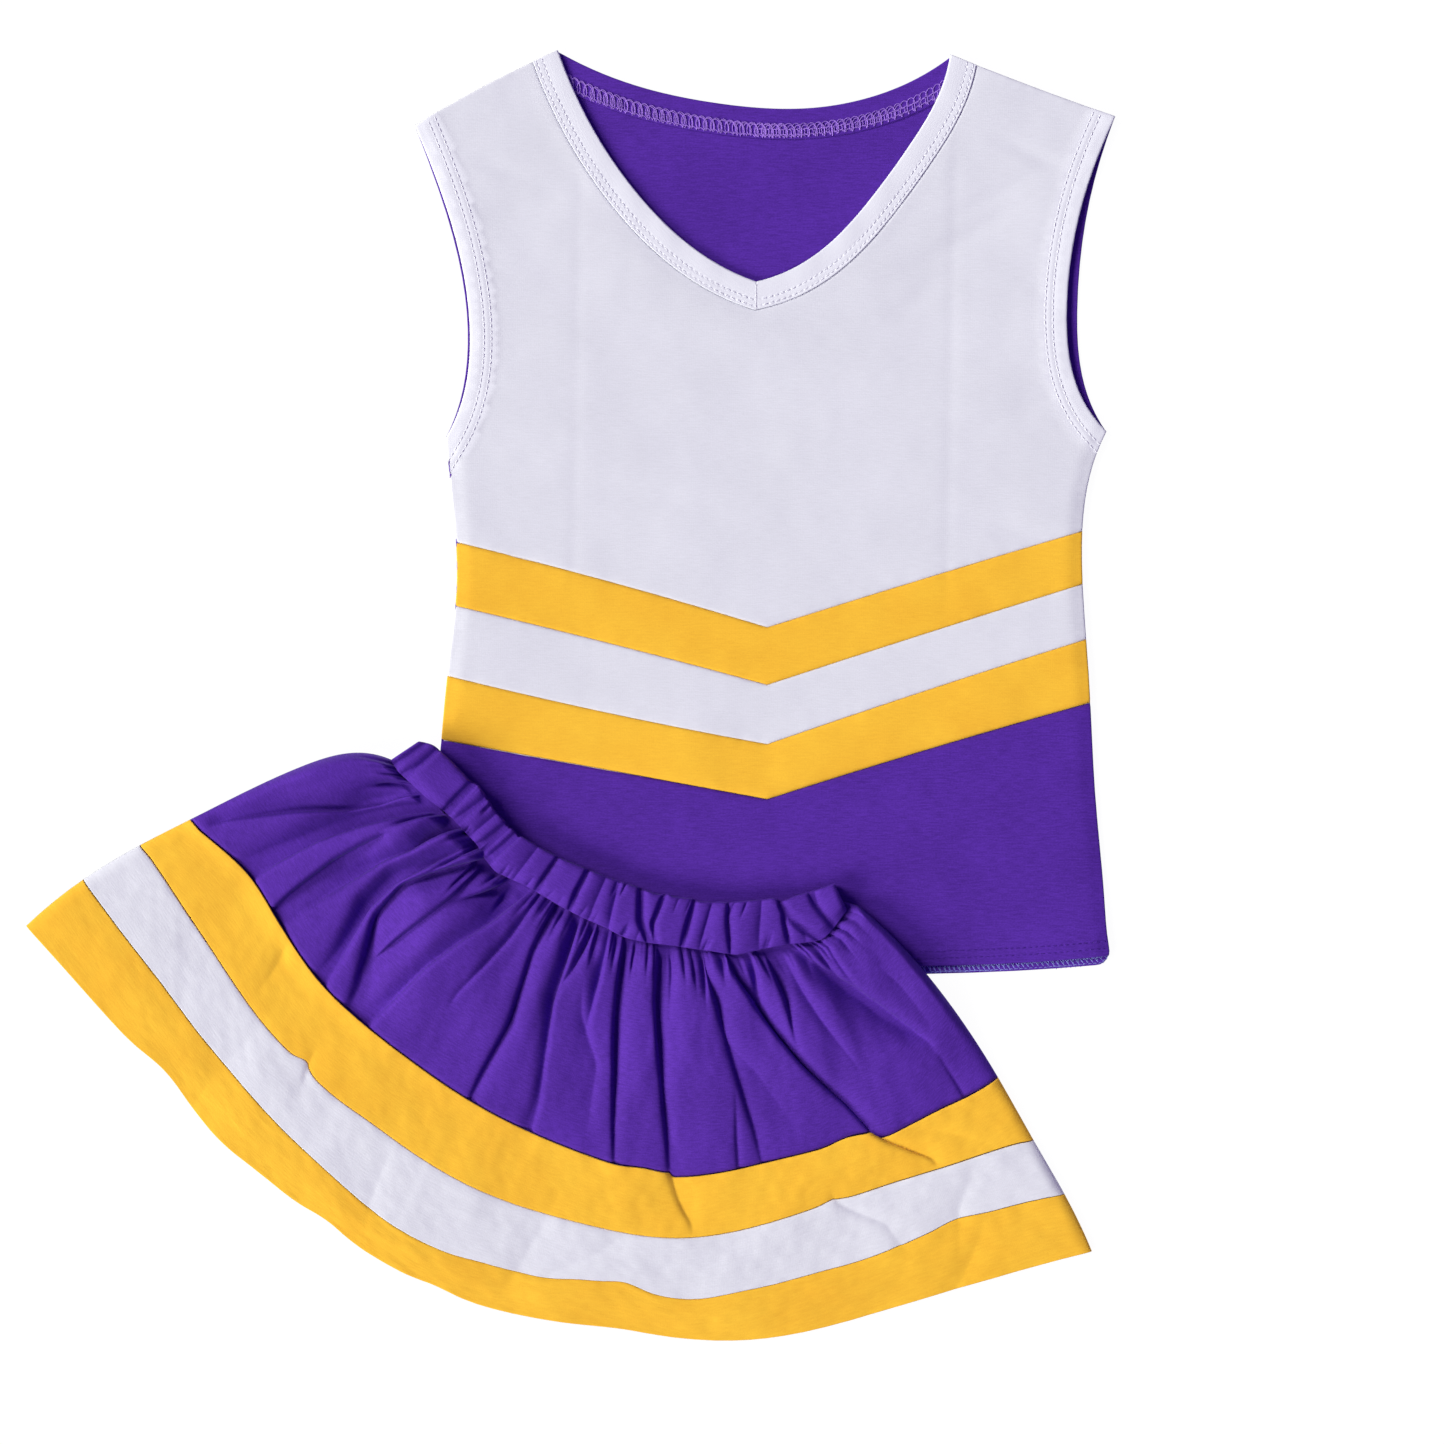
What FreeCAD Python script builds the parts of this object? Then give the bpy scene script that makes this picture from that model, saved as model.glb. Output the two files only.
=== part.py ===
import FreeCAD, Part
import os

# Toddler cheer uniform laid out flat: a sleeveless V-neck top, and a gathered pull-on
# skirt lying across the top's lower left corner. Millimetres, +Z up out of the table,
# +Y from the hem towards the neck, origin under the middle of the whole outfit.

# Where each garment lies. The top is drawn from the middle of its hem, and the skirt
# from the middle of its waistband's upper edge.
TOP_PLACE = (88.3, -122.9)
SKIRT_PLACE = (23.3, -83.9)
SKIRT_TURN = -18.0

# Heights of the top's layers above the table: cloth, turned hems and threads.
CLOTH = 1.0
TURNED = 0.6
THREAD = 0.3
BACK_FACE = CLOTH
FRONT_FLOOR = 2.6
FRONT_FACE = FRONT_FLOOR + CLOTH
NECKBAND_PLIES = 1.4
BINDING_PLIES = 0.7

# Widths along the top's edges.
NECKBAND_WIDTH = 12.5
NECK_STITCH_ROWS = (8.0, 10.8)
BINDING_WIDTH = 14.0
BINDING_LOOPS = (6.5, 13.5)
ARMHOLE_HEM = 10.5
ARMHOLE_STITCH_ROWS = (6.2, 9.6)
BOTTOM_HEM = 8.0
HEM_STITCH_ROWS = (3.4, 6.6)
HEM_LOOPS = (0.3, 5.8)
STITCH_WIDTH = 0.5
ALLOWANCE = 7.0
SIDE_ALLOWANCE = 6.0
MITRE_X = -4.0
MITRE_FOOT = 297.0

# Heights of the skirt's layers above what it lies on, and of the top under it.
TOP_STACK = 4.6
SKIRT_BACK = (0.0, 1.4)
SKIRT_BACK_SEAM = (1.4, 2.1)
SKIRT_FRONT_SEAM = (2.3, 3.0)
SKIRT_FRONT = (3.0, 4.4)
GATHERED_FRONT = (3.0, 6.5)
SKIRT_SIDE_SEAM = (1.4, 3.0)
WAIST_BACK = (0.0, 4.2)
WAIST_FRONT = (4.4, 8.8)
ELASTIC_BACK = (1.4, 2.6)
ELASTIC_FRONT = (6.0, 7.2)
ELASTIC_END = 1.2
CASING_WALL = 2.0
# How high the open space over the waistband is cut clear of the fan.
HOLLOW_TOP = 60.0

# The corner of the table's bare region that the skirt drops to: just outside the top's
# left side and bottom hem.
TOP_EDGE_X = -63.5
TOP_EDGE_Y = -129.5

# How far an edge is carried on past its ends, and the size of what lies beyond it.
REACH = 45.0
FAR = 400.0
# The cloth that the top's panels are cut from, wider and taller than the top.
CLOTH_WIDTH = 400.0
CLOTH_LOW = -20.0
CLOTH_HIGH = 440.0


def vec(point):
    return FreeCAD.Vector(point[0], point[1], 0)


def spline(points):
    """One smooth edge through the given points."""
    curve = Part.BSplineCurve()
    curve.interpolate([vec(point) for point in points])
    return curve.toShape()


def face_of(edges):
    return Part.Face(Part.Wire(Part.__sortEdges__(edges)))


def line(start, end):
    return Part.LineSegment(start, end).toShape()


def left_of(direction):
    return FreeCAD.Vector(-direction.y, direction.x, 0)


def beyond(points, inset=0.0):
    """The plan region on the left of a curve, moved to the right by inset.

    The curve is carried on straight at both ends and the region flares from there, so
    that the regions of two neighbouring edges cover the corner between them.
    """
    edge = spline(points)
    first, last = edge.FirstParameter, edge.LastParameter
    steps = 3 * len(points)
    moved = []
    for step in range(steps + 1):
        at = first + (last - first) * step / steps
        moved.append(edge.valueAt(at) - left_of(edge.tangentAt(at)) * inset)
    start_way, end_way = edge.tangentAt(first), edge.tangentAt(last)
    start, end = moved[0] - start_way * REACH, moved[-1] + end_way * REACH
    start_far = start + (left_of(start_way) - start_way) * FAR
    end_far = end + (left_of(end_way) + end_way) * FAR
    chord = (moved[-1] - moved[0]).normalize()
    middle_far = moved[steps // 2] + left_of(chord) * 2 * FAR
    side = edge if inset == 0.0 else spline([(p.x, p.y) for p in moved])
    return face_of([line(start, moved[0]), side, line(moved[-1], end),
                    line(end, end_far), line(end_far, middle_far),
                    line(middle_far, start_far), line(start_far, start)])


def plane(x_low=-FAR, x_high=FAR):
    return Part.makePlane(x_high - x_low, 4 * FAR, FreeCAD.Vector(x_low, -2 * FAR, 0))


def slab(plan, low, high):
    """A flat layer of the plan shape from one height to another."""
    lifted = plan.copy()
    lifted.translate(FreeCAD.Vector(0, 0, low))
    solids = [face.extrude(FreeCAD.Vector(0, 0, high - low)) for face in lifted.Faces]
    return Part.makeCompound(solids) if len(solids) > 1 else solids[0]


def joined(*shapes):
    whole = shapes[0]
    for shape in shapes[1:]:
        whole = whole.fuse(shape)
    return whole.removeSplitter()


def write(name, shape, place, turn=0.0):
    """Put a garment's piece where the garment lies and write it as one node."""
    shape = shape.copy()
    spin = FreeCAD.Rotation(FreeCAD.Vector(0, 0, 1), turn)
    shape.Placement = FreeCAD.Placement(vec(place), spin).multiply(shape.Placement)
    shape.exportStep("parts/" + name + ".step")
    written[name] = shape


os.makedirs("parts", exist_ok=True)
written = {}

# ---------------------------------------------------------------------------
# The top. Every edge runs clockwise round the garment, so its outside is on the left.

LEFT_SIDE = [(-149, 0), (-147, 103), (-143, 143), (-140, 172), (-142, 212), (-145, 240)]
RIGHT_SIDE = [(155, 243), (147, 221), (144, 180), (147, 132), (150, 78), (154, 32),
              (156, 10), (156.3, 6.4), (155.2, 3.4), (152.6, 1.2)]
LEFT_ARMHOLE = [(-145, 240), (-136, 263), (-134, 290), (-140, 329), (-159, 382)]
RIGHT_ARMHOLE = [(159, 386), (145, 350), (137, 300), (141, 265), (155, 243)]
LEFT_SHOULDER = [(-159, 382), (-127, 400), (-94, 416)]
RIGHT_SHOULDER = [(84, 414), (120, 400), (159, 386)]
NECK_LEFT = [(-94, 416), (-85, 394), (-73, 372), (-57, 350), (-36, 329), (-4, 311)]
NECK_RIGHT = [(-4, 311), (30, 329), (49, 350), (65, 372), (78, 394), (84, 414)]
BACK_NECK = [(-93, 415), (-61, 401), (-20, 392), (20, 390), (48, 395), (84, 413)]
BACK_LEFT_ARMHOLE = [(-145, 240), (-137, 263), (-135, 290), (-141, 329), (-159, 382)]
BACK_RIGHT_ARMHOLE = [(159, 386), (148, 350), (142, 300), (145, 265), (155, 243)]
FRONT_HEM = [(156, 5), (120, 2), (60, 0), (-40, 0), (-149, 3)]
BACK_HEM = [(156, 1.2), (120, -1.6), (60, -3.6), (-40, -3.8), (-149, -0.8)]

# The chevron: four seams, each two gentle arms that meet at the tip.
CHEVRON_ARMS = [
    ([(-141, 193), (-75, 176), (1, 154)], [(1, 154), (75, 177), (145, 198)]),
    ([(-141, 164), (-75, 148), (1, 128)], [(1, 128), (75, 152), (145, 174)]),
    ([(-144, 132), (-75, 116), (1, 101)], [(1, 101), (75, 126), (147, 149)]),
    ([(-147, 103), (-75, 90), (1, 76)], [(1, 76), (75, 99), (148, 120)]),
]


def neck_void(inset=0.0):
    """The V of the neck, widened by inset: what both of its arms leave open."""
    return beyond(NECK_LEFT, inset).common(beyond(NECK_RIGHT, inset))


def garment(edges):
    """The plan region inside a ring of clockwise edges."""
    corner = FreeCAD.Vector(-CLOTH_WIDTH / 2, CLOTH_LOW, 0)
    plan = Part.makePlane(CLOTH_WIDTH, CLOTH_HIGH - CLOTH_LOW, corner)
    for edge in edges:
        plan = plan.cut(beyond(edge))
    return plan


def zone(edge, near, far_in, plan):
    """The strip of a garment between two distances in from one of its edges."""
    strip = beyond(edge, far_in)
    if near > 0:
        strip = strip.cut(beyond(edge, near))
    return strip.common(plan)


def below_chevron(index, drop=0.0):
    """Everything under one chevron seam: under its left arm, or under its right arm."""
    left, right = CHEVRON_ARMS[index]
    under = joined(beyond(list(reversed(left))), beyond(list(reversed(right))))
    under.translate(FreeCAD.Vector(0, -drop, 0))
    return under


sides = [LEFT_SIDE, RIGHT_SIDE]
shoulders = [LEFT_SHOULDER, RIGHT_SHOULDER]
front_plan = garment(sides + shoulders + [LEFT_ARMHOLE, RIGHT_ARMHOLE, FRONT_HEM])
front_plan = front_plan.cut(neck_void())
back_plan = garment(sides + shoulders + [BACK_LEFT_ARMHOLE, BACK_RIGHT_ARMHOLE, BACK_HEM])
back_plan = back_plan.cut(beyond(BACK_NECK))

# Turned hems lie on the inner face of their own panel and belong to it.
front_armhole_hems = joined(zone(LEFT_ARMHOLE, 0, ARMHOLE_HEM, front_plan),
                            zone(RIGHT_ARMHOLE, 0, ARMHOLE_HEM, front_plan))
back_armhole_hems = joined(zone(BACK_LEFT_ARMHOLE, 0, ARMHOLE_HEM, back_plan),
                           zone(BACK_RIGHT_ARMHOLE, 0, ARMHOLE_HEM, back_plan))
front_hem_turn = zone(FRONT_HEM, 0, BOTTOM_HEM, front_plan)
back_hem_turn = zone(BACK_HEM, 0, BOTTOM_HEM, back_plan)

# Back panel, in one piece, with its turned hems.
back_armhole_hems = back_armhole_hems.cut(beyond(BACK_NECK, BINDING_WIDTH))
back_panel = joined(slab(back_plan, 0, BACK_FACE),
                    slab(back_armhole_hems, BACK_FACE, BACK_FACE + TURNED),
                    slab(back_hem_turn, BACK_FACE, BACK_FACE + TURNED))
write("back_panel", back_panel, TOP_PLACE)

# Front panel, pieced from five cloths along the chevron.
turned_front = (FRONT_FLOOR - TURNED, FRONT_FLOOR)
below = [below_chevron(index) for index in range(4)]
neck_zone = neck_void(NECKBAND_WIDTH)
yoke_plan = front_plan.cut(below[0]).cut(neck_zone)
yoke_hems = front_armhole_hems.cut(below[0]).cut(neck_zone)
write("front_yoke", joined(slab(yoke_plan, FRONT_FLOOR, FRONT_FACE),
                           slab(yoke_hems, *turned_front)), TOP_PLACE)
stripes = ["chevron_upper_gold", "chevron_middle_white", "chevron_lower_gold"]
for index, name in enumerate(stripes):
    stripe = front_plan.common(below[index]).cut(below[index + 1])
    write(name, slab(stripe, FRONT_FLOOR, FRONT_FACE), TOP_PLACE)
lower_plan = front_plan.common(below[3])
write("front_lower_panel", joined(slab(lower_plan, FRONT_FLOOR, FRONT_FACE),
                                  slab(front_hem_turn, *turned_front)), TOP_PLACE)

# Overlocked seams of the chevron: pressed allowances bound in thread, inside the front.
side_strips = joined(*[zone(side, 0, SIDE_ALLOWANCE, front_plan) for side in sides])
seam_names = ["yoke_seam_overlock", "upper_gold_seam_overlock",
              "middle_white_seam_overlock", "lower_gold_seam_overlock"]
for index, name in enumerate(seam_names):
    strip = front_plan.common(below[index]).cut(below_chevron(index, ALLOWANCE))
    write(name, slab(strip.cut(side_strips), *turned_front), TOP_PLACE)

# Side and shoulder seams: overlocked allowances that hold the front to the back.
kept_clear = [front_armhole_hems, back_armhole_hems, front_hem_turn, back_hem_turn,
              neck_zone, beyond(BACK_NECK, BINDING_WIDTH)]


def inner_seam(edge, width):
    strip = zone(edge, 0, width, front_plan.common(back_plan))
    for region in kept_clear:
        strip = strip.cut(region)
    return slab(strip, BACK_FACE, FRONT_FLOOR)


for hand, side, shoulder in (("left", LEFT_SIDE, LEFT_SHOULDER),
                             ("right", RIGHT_SIDE, RIGHT_SHOULDER)):
    write("side_seam_" + hand, inner_seam(side, SIDE_ALLOWANCE), TOP_PLACE)
    write("shoulder_seam_" + hand, inner_seam(shoulder, ALLOWANCE), TOP_PLACE)

# Folded white neckband in two arms, mitred at the V, with twin-needle topstitching.
neckband = neck_zone.common(front_plan)
hands = (("left", plane(x_high=MITRE_X)), ("right", plane(x_low=MITRE_X)))
neckband_top = FRONT_FLOOR + NECKBAND_PLIES
mitre_plan = Part.makePlane(STITCH_WIDTH, NECKBAND_WIDTH,
                            FreeCAD.Vector(MITRE_X - STITCH_WIDTH / 2, MITRE_FOOT, 0))
mitre_plan = mitre_plan.common(neckband)
for hand, side in hands:
    arm = neckband.common(side)
    write("neckband_" + hand, slab(arm, FRONT_FLOOR, neckband_top), TOP_PLACE)
    rows = [neck_void(row + STITCH_WIDTH).cut(neck_void(row)).common(arm).cut(mitre_plan)
            for row in NECK_STITCH_ROWS]
    stitches = [slab(row, neckband_top, neckband_top + THREAD) for row in rows]
    write("neck_topstitch_" + hand, Part.makeCompound(stitches), TOP_PLACE)
write("neckband_mitre_stitch", slab(mitre_plan, neckband_top, neckband_top + THREAD),
      TOP_PLACE)

# Back neck binding on the inner face, held down by a looped coverstitch.
binding = zone(BACK_NECK, 0, BINDING_WIDTH, back_plan)
binding_top = BACK_FACE + BINDING_PLIES
write("back_neck_binding", slab(binding, BACK_FACE, binding_top), TOP_PLACE)
loops = zone(BACK_NECK, BINDING_LOOPS[0], BINDING_LOOPS[1], back_plan)
write("back_neck_coverstitch", slab(loops, binding_top, binding_top + THREAD), TOP_PLACE)


def stitch_rows(edge, rows, plan, low):
    strips = [zone(edge, row, row + STITCH_WIDTH, plan) for row in rows]
    return Part.makeCompound([slab(strip, low, low + THREAD) for strip in strips])


# Coverstitching of the armhole hems and the bottom hems.
for hand, front_edge, back_edge in (("left", LEFT_ARMHOLE, BACK_LEFT_ARMHOLE),
                                    ("right", RIGHT_ARMHOLE, BACK_RIGHT_ARMHOLE)):
    write("armhole_stitch_front_" + hand,
          stitch_rows(front_edge, ARMHOLE_STITCH_ROWS, yoke_plan, FRONT_FACE), TOP_PLACE)
    write("armhole_stitch_back_" + hand,
          stitch_rows(back_edge, ARMHOLE_STITCH_ROWS, back_armhole_hems,
                      BACK_FACE + TURNED), TOP_PLACE)
write("hem_stitch_front",
      stitch_rows(FRONT_HEM, HEM_STITCH_ROWS, front_plan, FRONT_FACE), TOP_PLACE)
back_hem_loops = zone(BACK_HEM, HEM_LOOPS[0], HEM_LOOPS[1], back_plan)
write("hem_loops_back",
      slab(back_hem_loops, BACK_FACE + TURNED, BACK_FACE + TURNED + THREAD), TOP_PLACE)

# ---------------------------------------------------------------------------
# The skirt: a fan pieced from four cloths, drawn up by an elastic waistband.

# The waistband's right end turns down and in: its end runs from the last point of its
# upper edge to the heel, and on to the first point of its foot.
BAND_HEEL = (101, 19.5)
BAND_END = (98.2, 11.5)
BAND_START = (-111, 27)
BAND_TOP = [(-105, 34), (-78, 21), (-51, 6), (-4, 0), (33, 2), (67, 14), (92, 29)]
BAND_FOOT = [(95, 3), (77, -6), (45, -18), (10, -24), (-36, -16), (-60, -10),
             (-90, 6), (-116, 20)]
LEFT_FLANK = [(-251, -103), (-213, -52), (-195, -34), (-155, 4), (-133, 18), (-116, 20)]
RIGHT_FLANK = [(105.5, 22.6), (120, 16.4), (156, -5), (190, -32), (214, -54), (235, -73), (255, -94)]
SKIRT_HEM = [(255, -94), (227, -112), (180, -144), (120, -180), (53, -196), (-2, -203),
             (-62, -195), (-94, -185), (-151, -160), (-196, -135), (-251, -103)]
BODY_FOOT = [(190, -32), (155, -67), (107, -98), (63, -120), (20, -123), (-30, -117),
             (-77, -103), (-111, -88), (-149, -60), (-195, -34)]
GOLD_FOOT = [(214, -54), (174, -82), (128, -116), (80, -145), (28, -155), (-33, -152),
             (-80, -138), (-131, -115), (-169, -86), (-213, -52)]
WHITE_FOOT = [(235, -73), (182, -108), (125, -151), (88, -171), (46, -176), (-10, -185),
              (-69, -173), (-137, -140), (-192, -104), (-231, -76)]


def skirt_write(name, shape):
    write(name, shape, SKIRT_PLACE, SKIRT_TURN)


def band_plan(edge_shrink=0.0, end_shrink=0.0):
    """The waistband in plan, or a smaller one inside it for the elastic."""
    right = [line(vec(BAND_TOP[-1]), vec(BAND_HEEL)), line(vec(BAND_HEEL), vec(BAND_FOOT[0]))]
    left = [line(vec(BAND_FOOT[-1]), vec(BAND_TOP[0]))]
    plan = face_of([spline(BAND_TOP), spline(BAND_FOOT)] + right + left)
    if edge_shrink > 0:
        for edge in (BAND_TOP, BAND_FOOT):
            plan = plan.cut(beyond(edge, edge_shrink))
    if end_shrink > 0:
        for end in ([BAND_HEEL, BAND_END, BAND_FOOT[0]], [BAND_FOOT[-1], BAND_START, BAND_TOP[0]]):
            plan = plan.cut(beyond(end, end_shrink))
    return plan


waist_plan = band_plan()
fan_top = line(vec(LEFT_FLANK[-1]), vec(RIGHT_FLANK[0]))
fan = face_of([spline(LEFT_FLANK), fan_top, spline(RIGHT_FLANK), spline(SKIRT_HEM)])
above = [vec((x, HOLLOW_TOP)) for x in (BAND_TOP[-1][0], BAND_TOP[0][0])]
hollow = face_of([spline(BAND_TOP), line(vec(BAND_TOP[-1]), above[0]), line(*above),
                  line(above[1], vec(BAND_TOP[0]))])
fan = fan.cut(hollow).cut(waist_plan)

under_body, under_gold, under_white = (beyond(BODY_FOOT), beyond(GOLD_FOOT),
                                       beyond(WHITE_FOOT))
body_plan = fan.cut(under_body)
gold_plan = fan.common(under_body).cut(under_gold)
white_plan = fan.common(under_gold).cut(under_white)
hem_plan = fan.common(under_white)


def in_skirt_frame(shape):
    """A shape given where the outfit lies, seen from the skirt's own frame."""
    spin = FreeCAD.Rotation(FreeCAD.Vector(0, 0, 1), SKIRT_TURN)
    placement = FreeCAD.Placement(vec(SKIRT_PLACE), spin).inverse()
    shape.Placement = placement.multiply(shape.Placement)
    return shape


def over_top(margin, low, high):
    """The block of space over the top, taken margin wider than the top's own edges."""
    corner = FreeCAD.Vector(TOP_EDGE_X - margin, TOP_EDGE_Y - margin, low)
    return in_skirt_frame(Part.makeBox(FAR, FAR, high - low, corner))


def draped(plan, levels, reach):
    """A layer that lies on the table, climbs the top's edge and lies on the top.

    reach is how far outside the top's edge the climb starts; the climb is as thick as
    the layer.
    """
    low, high = levels
    layer = slab(plan, low, high + TOP_STACK)
    layer = layer.cut(over_top(reach, low - 1, low + TOP_STACK))
    climb = reach + high - low
    bare = slab(plane(), high, high + TOP_STACK + 1)
    return layer.cut(bare.cut(over_top(climb, high - 1, high + TOP_STACK + 2)))


flank_strips = {
    "left": zone(LEFT_FLANK, 0, SIDE_ALLOWANCE, fan),
    "right": zone(RIGHT_FLANK, 0, SIDE_ALLOWANCE, fan),
}
both_flanks = joined(*flank_strips.values())

# Gathered purple body, then the gold, white and gold bands, front and back.
skirt_write("skirt_body_back", draped(body_plan, SKIRT_BACK, 0.0))
skirt_write("skirt_body_front", draped(body_plan, GATHERED_FRONT, GATHERED_FRONT[0]))
for name, plan in (("gold_band", gold_plan), ("white_band", white_plan),
                   ("hem_band", hem_plan)):
    skirt_write("skirt_" + name + "_back", slab(plan, *SKIRT_BACK))
    skirt_write("skirt_" + name + "_front", slab(plan, *SKIRT_FRONT))

# Overlocked band seams, each lying towards the hem inside its own layer.
for name, upper, edge in (("body_seam", under_body, BODY_FOOT),
                          ("gold_seam", under_gold, GOLD_FOOT),
                          ("white_seam", under_white, WHITE_FOOT)):
    lowered = beyond(edge, -ALLOWANCE)
    strip = fan.common(upper).cut(lowered).cut(both_flanks)
    skirt_write("skirt_" + name + "_back", slab(strip, *SKIRT_BACK_SEAM))
    skirt_write("skirt_" + name + "_front", slab(strip, *SKIRT_FRONT_SEAM))

# Side seams that hold the skirt's front to its back.
skirt_write("skirt_side_seam_left", slab(flank_strips["left"], *SKIRT_SIDE_SEAM))
skirt_write("skirt_side_seam_right",
            draped(flank_strips["right"], SKIRT_SIDE_SEAM, SKIRT_SIDE_SEAM[0]))

# Waist seam: allowances under the waistband's lower edge, front and back.
waist_strip = fan.cut(beyond(BAND_FOOT, -ALLOWANCE))
waist_strip = waist_strip.cut(both_flanks)
for name, levels in (("back", SKIRT_BACK_SEAM), ("front", SKIRT_FRONT_SEAM)):
    strip = slab(waist_strip, levels[0] + TOP_STACK, levels[1] + TOP_STACK)
    strip = strip.common(over_top(0, 0, 3 * TOP_STACK))
    skirt_write("waist_seam_" + name, strip)

# Elastic: one flattened loop sealed inside the casing.
elastic = slab(band_plan(CASING_WALL, CASING_WALL),
               TOP_STACK + ELASTIC_BACK[0], TOP_STACK + ELASTIC_FRONT[1])
loop_inside = slab(band_plan(end_shrink=CASING_WALL + ELASTIC_END),
                   TOP_STACK + ELASTIC_BACK[1], TOP_STACK + ELASTIC_FRONT[0])
elastic = elastic.cut(loop_inside)
skirt_write("waist_elastic", elastic)
for name, levels in (("back", WAIST_BACK), ("front", WAIST_FRONT)):
    casing = slab(waist_plan, TOP_STACK + levels[0], TOP_STACK + levels[1])
    skirt_write("waistband_" + name, casing.cut(elastic))

# ---------------------------------------------------------------------------
box = FreeCAD.BoundBox()
for name, shape in written.items():
    box.add(shape.BoundBox)
    print(name, len(shape.Solids), "solids", round(shape.Volume), "mm3",
          "valid" if shape.isValid() else "INVALID")
print("box", [round(v, 2) for v in (box.XMin, box.YMin, box.ZMin, box.XMax, box.YMax, box.ZMax)])
print("centre", round(box.Center.x, 2), round(box.Center.y, 2), "nodes", len(written))
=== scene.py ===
"""The looks of a toddler cheer uniform laid out flat: a sleeveless V-neck top with a
chevron front, and a gathered pull-on skirt that lies across its lower left corner.

Every cloth piece is rebuilt as a thin closed sheet inside the outline of its CAD node.
Metres; +Z is up out of the table and +Y runs from the hem towards the neck.
"""

import math

import bpy
import numpy as np
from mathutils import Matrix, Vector, geometry


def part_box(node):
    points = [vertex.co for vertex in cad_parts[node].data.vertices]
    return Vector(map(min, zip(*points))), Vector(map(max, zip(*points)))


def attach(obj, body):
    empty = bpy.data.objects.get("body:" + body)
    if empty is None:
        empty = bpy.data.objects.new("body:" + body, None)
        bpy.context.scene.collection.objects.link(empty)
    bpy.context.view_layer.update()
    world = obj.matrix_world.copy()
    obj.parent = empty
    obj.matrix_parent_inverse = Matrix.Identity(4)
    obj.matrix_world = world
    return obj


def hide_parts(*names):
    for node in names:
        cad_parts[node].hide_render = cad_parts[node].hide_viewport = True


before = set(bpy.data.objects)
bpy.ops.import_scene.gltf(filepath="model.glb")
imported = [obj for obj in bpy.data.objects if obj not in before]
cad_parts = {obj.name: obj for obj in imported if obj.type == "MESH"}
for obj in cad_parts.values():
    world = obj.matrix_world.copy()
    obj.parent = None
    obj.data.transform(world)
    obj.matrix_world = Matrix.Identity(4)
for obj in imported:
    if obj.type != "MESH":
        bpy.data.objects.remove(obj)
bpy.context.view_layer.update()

MM = 0.001
TOP, SKIRT = "top", "skirt"

# Colours of the cloth and thread, linear.
WHITE = (0.735, 0.750, 0.825)
GOLD = (1.0, 0.525, 0.036)
PURPLE = (0.081, 0.0182, 0.333)
LILAC = (0.34, 0.18, 0.70)
THREAD_WHITE = (0.80, 0.80, 0.88)
THREAD_BLUE = (0.27, 0.29, 0.74)
ELASTIC = (0.74, 0.73, 0.70)

# Heights of the cloth's middle above the table, in the top and in the skirt.
CLOTH = 0.95 * MM
BACK_MID = 0.5 * MM
FRONT_MID = 3.1 * MM
SKIRT_CLOTH = 1.1 * MM
SKIRT_BACK_MID = 0.7 * MM
SKIRT_FRONT_MID = 3.7 * MM
TOP_STACK = 4.6 * MM
STITCH_PITCH = 2.8 * MM
NECKBAND_WIDTH = 12.5 * MM

# Lengths below this count as nothing.
TINY = 1e-12
# Corners that round to the same place at this many steps to the metre are one.
WELD = 2e5
# Spacing of the points that outlines are resampled to.
DENSE = 0.3 * MM


# ---------------------------------------------------------------------------
# Plan lines taken from the frame


def unit(vectors):
    """Vectors brought to length 1 along their last axis."""
    return vectors / np.maximum(np.linalg.norm(vectors, axis=-1, keepdims=True), TINY)


def outlines(name, side=1):
    """The plan outlines of a node's upper (side 1) or lower (side -1) faces.

    Each is a closed counter-clockwise loop without its first point repeated; the
    longest comes first.
    """
    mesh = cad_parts[name].data
    mesh.calc_loop_triangles()
    co = np.array([v.co for v in mesh.vertices], float)
    tri = np.array([t.vertices for t in mesh.loop_triangles])
    normal = unit(np.cross(co[tri[:, 1]] - co[tri[:, 0]], co[tri[:, 2]] - co[tri[:, 0]]))
    tri = tri[normal[:, 2] * side > 0.5]
    spots, index = np.unique(np.round(co[:, :2] * WELD).astype(np.int64), axis=0,
                             return_inverse=True)
    spots = spots / WELD
    index = index.ravel()
    edges = set()
    for corners in index[tri]:
        for a, b in zip(corners, np.roll(corners, -1)):
            if a == b:
                continue
            if (b, a) in edges:
                edges.remove((b, a))
            else:
                edges.add((a, b))
    follow = {}
    for a, b in sorted(edges):
        follow.setdefault(a, []).append(b)
    loops = []
    while follow:
        start = at = next(iter(follow))
        loop = []
        while at in follow:
            loop.append(at)
            after = follow[at].pop()
            if not follow[at]:
                del follow[at]
            at = after
            if at == start:
                break
        points = spots[loop]
        if side < 0:
            points = points[::-1]
        if len(points) > 2:
            loops.append(points)
    return sorted(loops, key=lambda p: -length_of(closed(p)))


def closed(loop):
    """The loop with its first point repeated at its end."""
    return np.vstack([loop, loop[:1]])


def length_of(line):
    """The length of an open line."""
    return float(np.linalg.norm(np.diff(line, axis=0), axis=1).sum())


def resample(line, count):
    """count points evenly spaced along an open line."""
    steps = np.linalg.norm(np.diff(line, axis=0), axis=1)
    at = np.concatenate([[0], np.cumsum(steps)])
    want = np.linspace(0, at[-1], count)
    return np.stack([np.interp(want, at, line[:, k]) for k in range(line.shape[1])], 1)


def downwards(line):
    """The line drawn from its higher end in the plan."""
    return line if line[0, 1] > line[-1, 1] else line[::-1]


def place_on(line, share):
    """The points at given shares of an open line's length."""
    steps = np.linalg.norm(np.diff(line, axis=0), axis=1)
    at = np.concatenate([[0], np.cumsum(steps)]) / steps.sum()
    return np.stack([np.interp(share, at, line[:, k]) for k in range(2)], -1)


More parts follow.
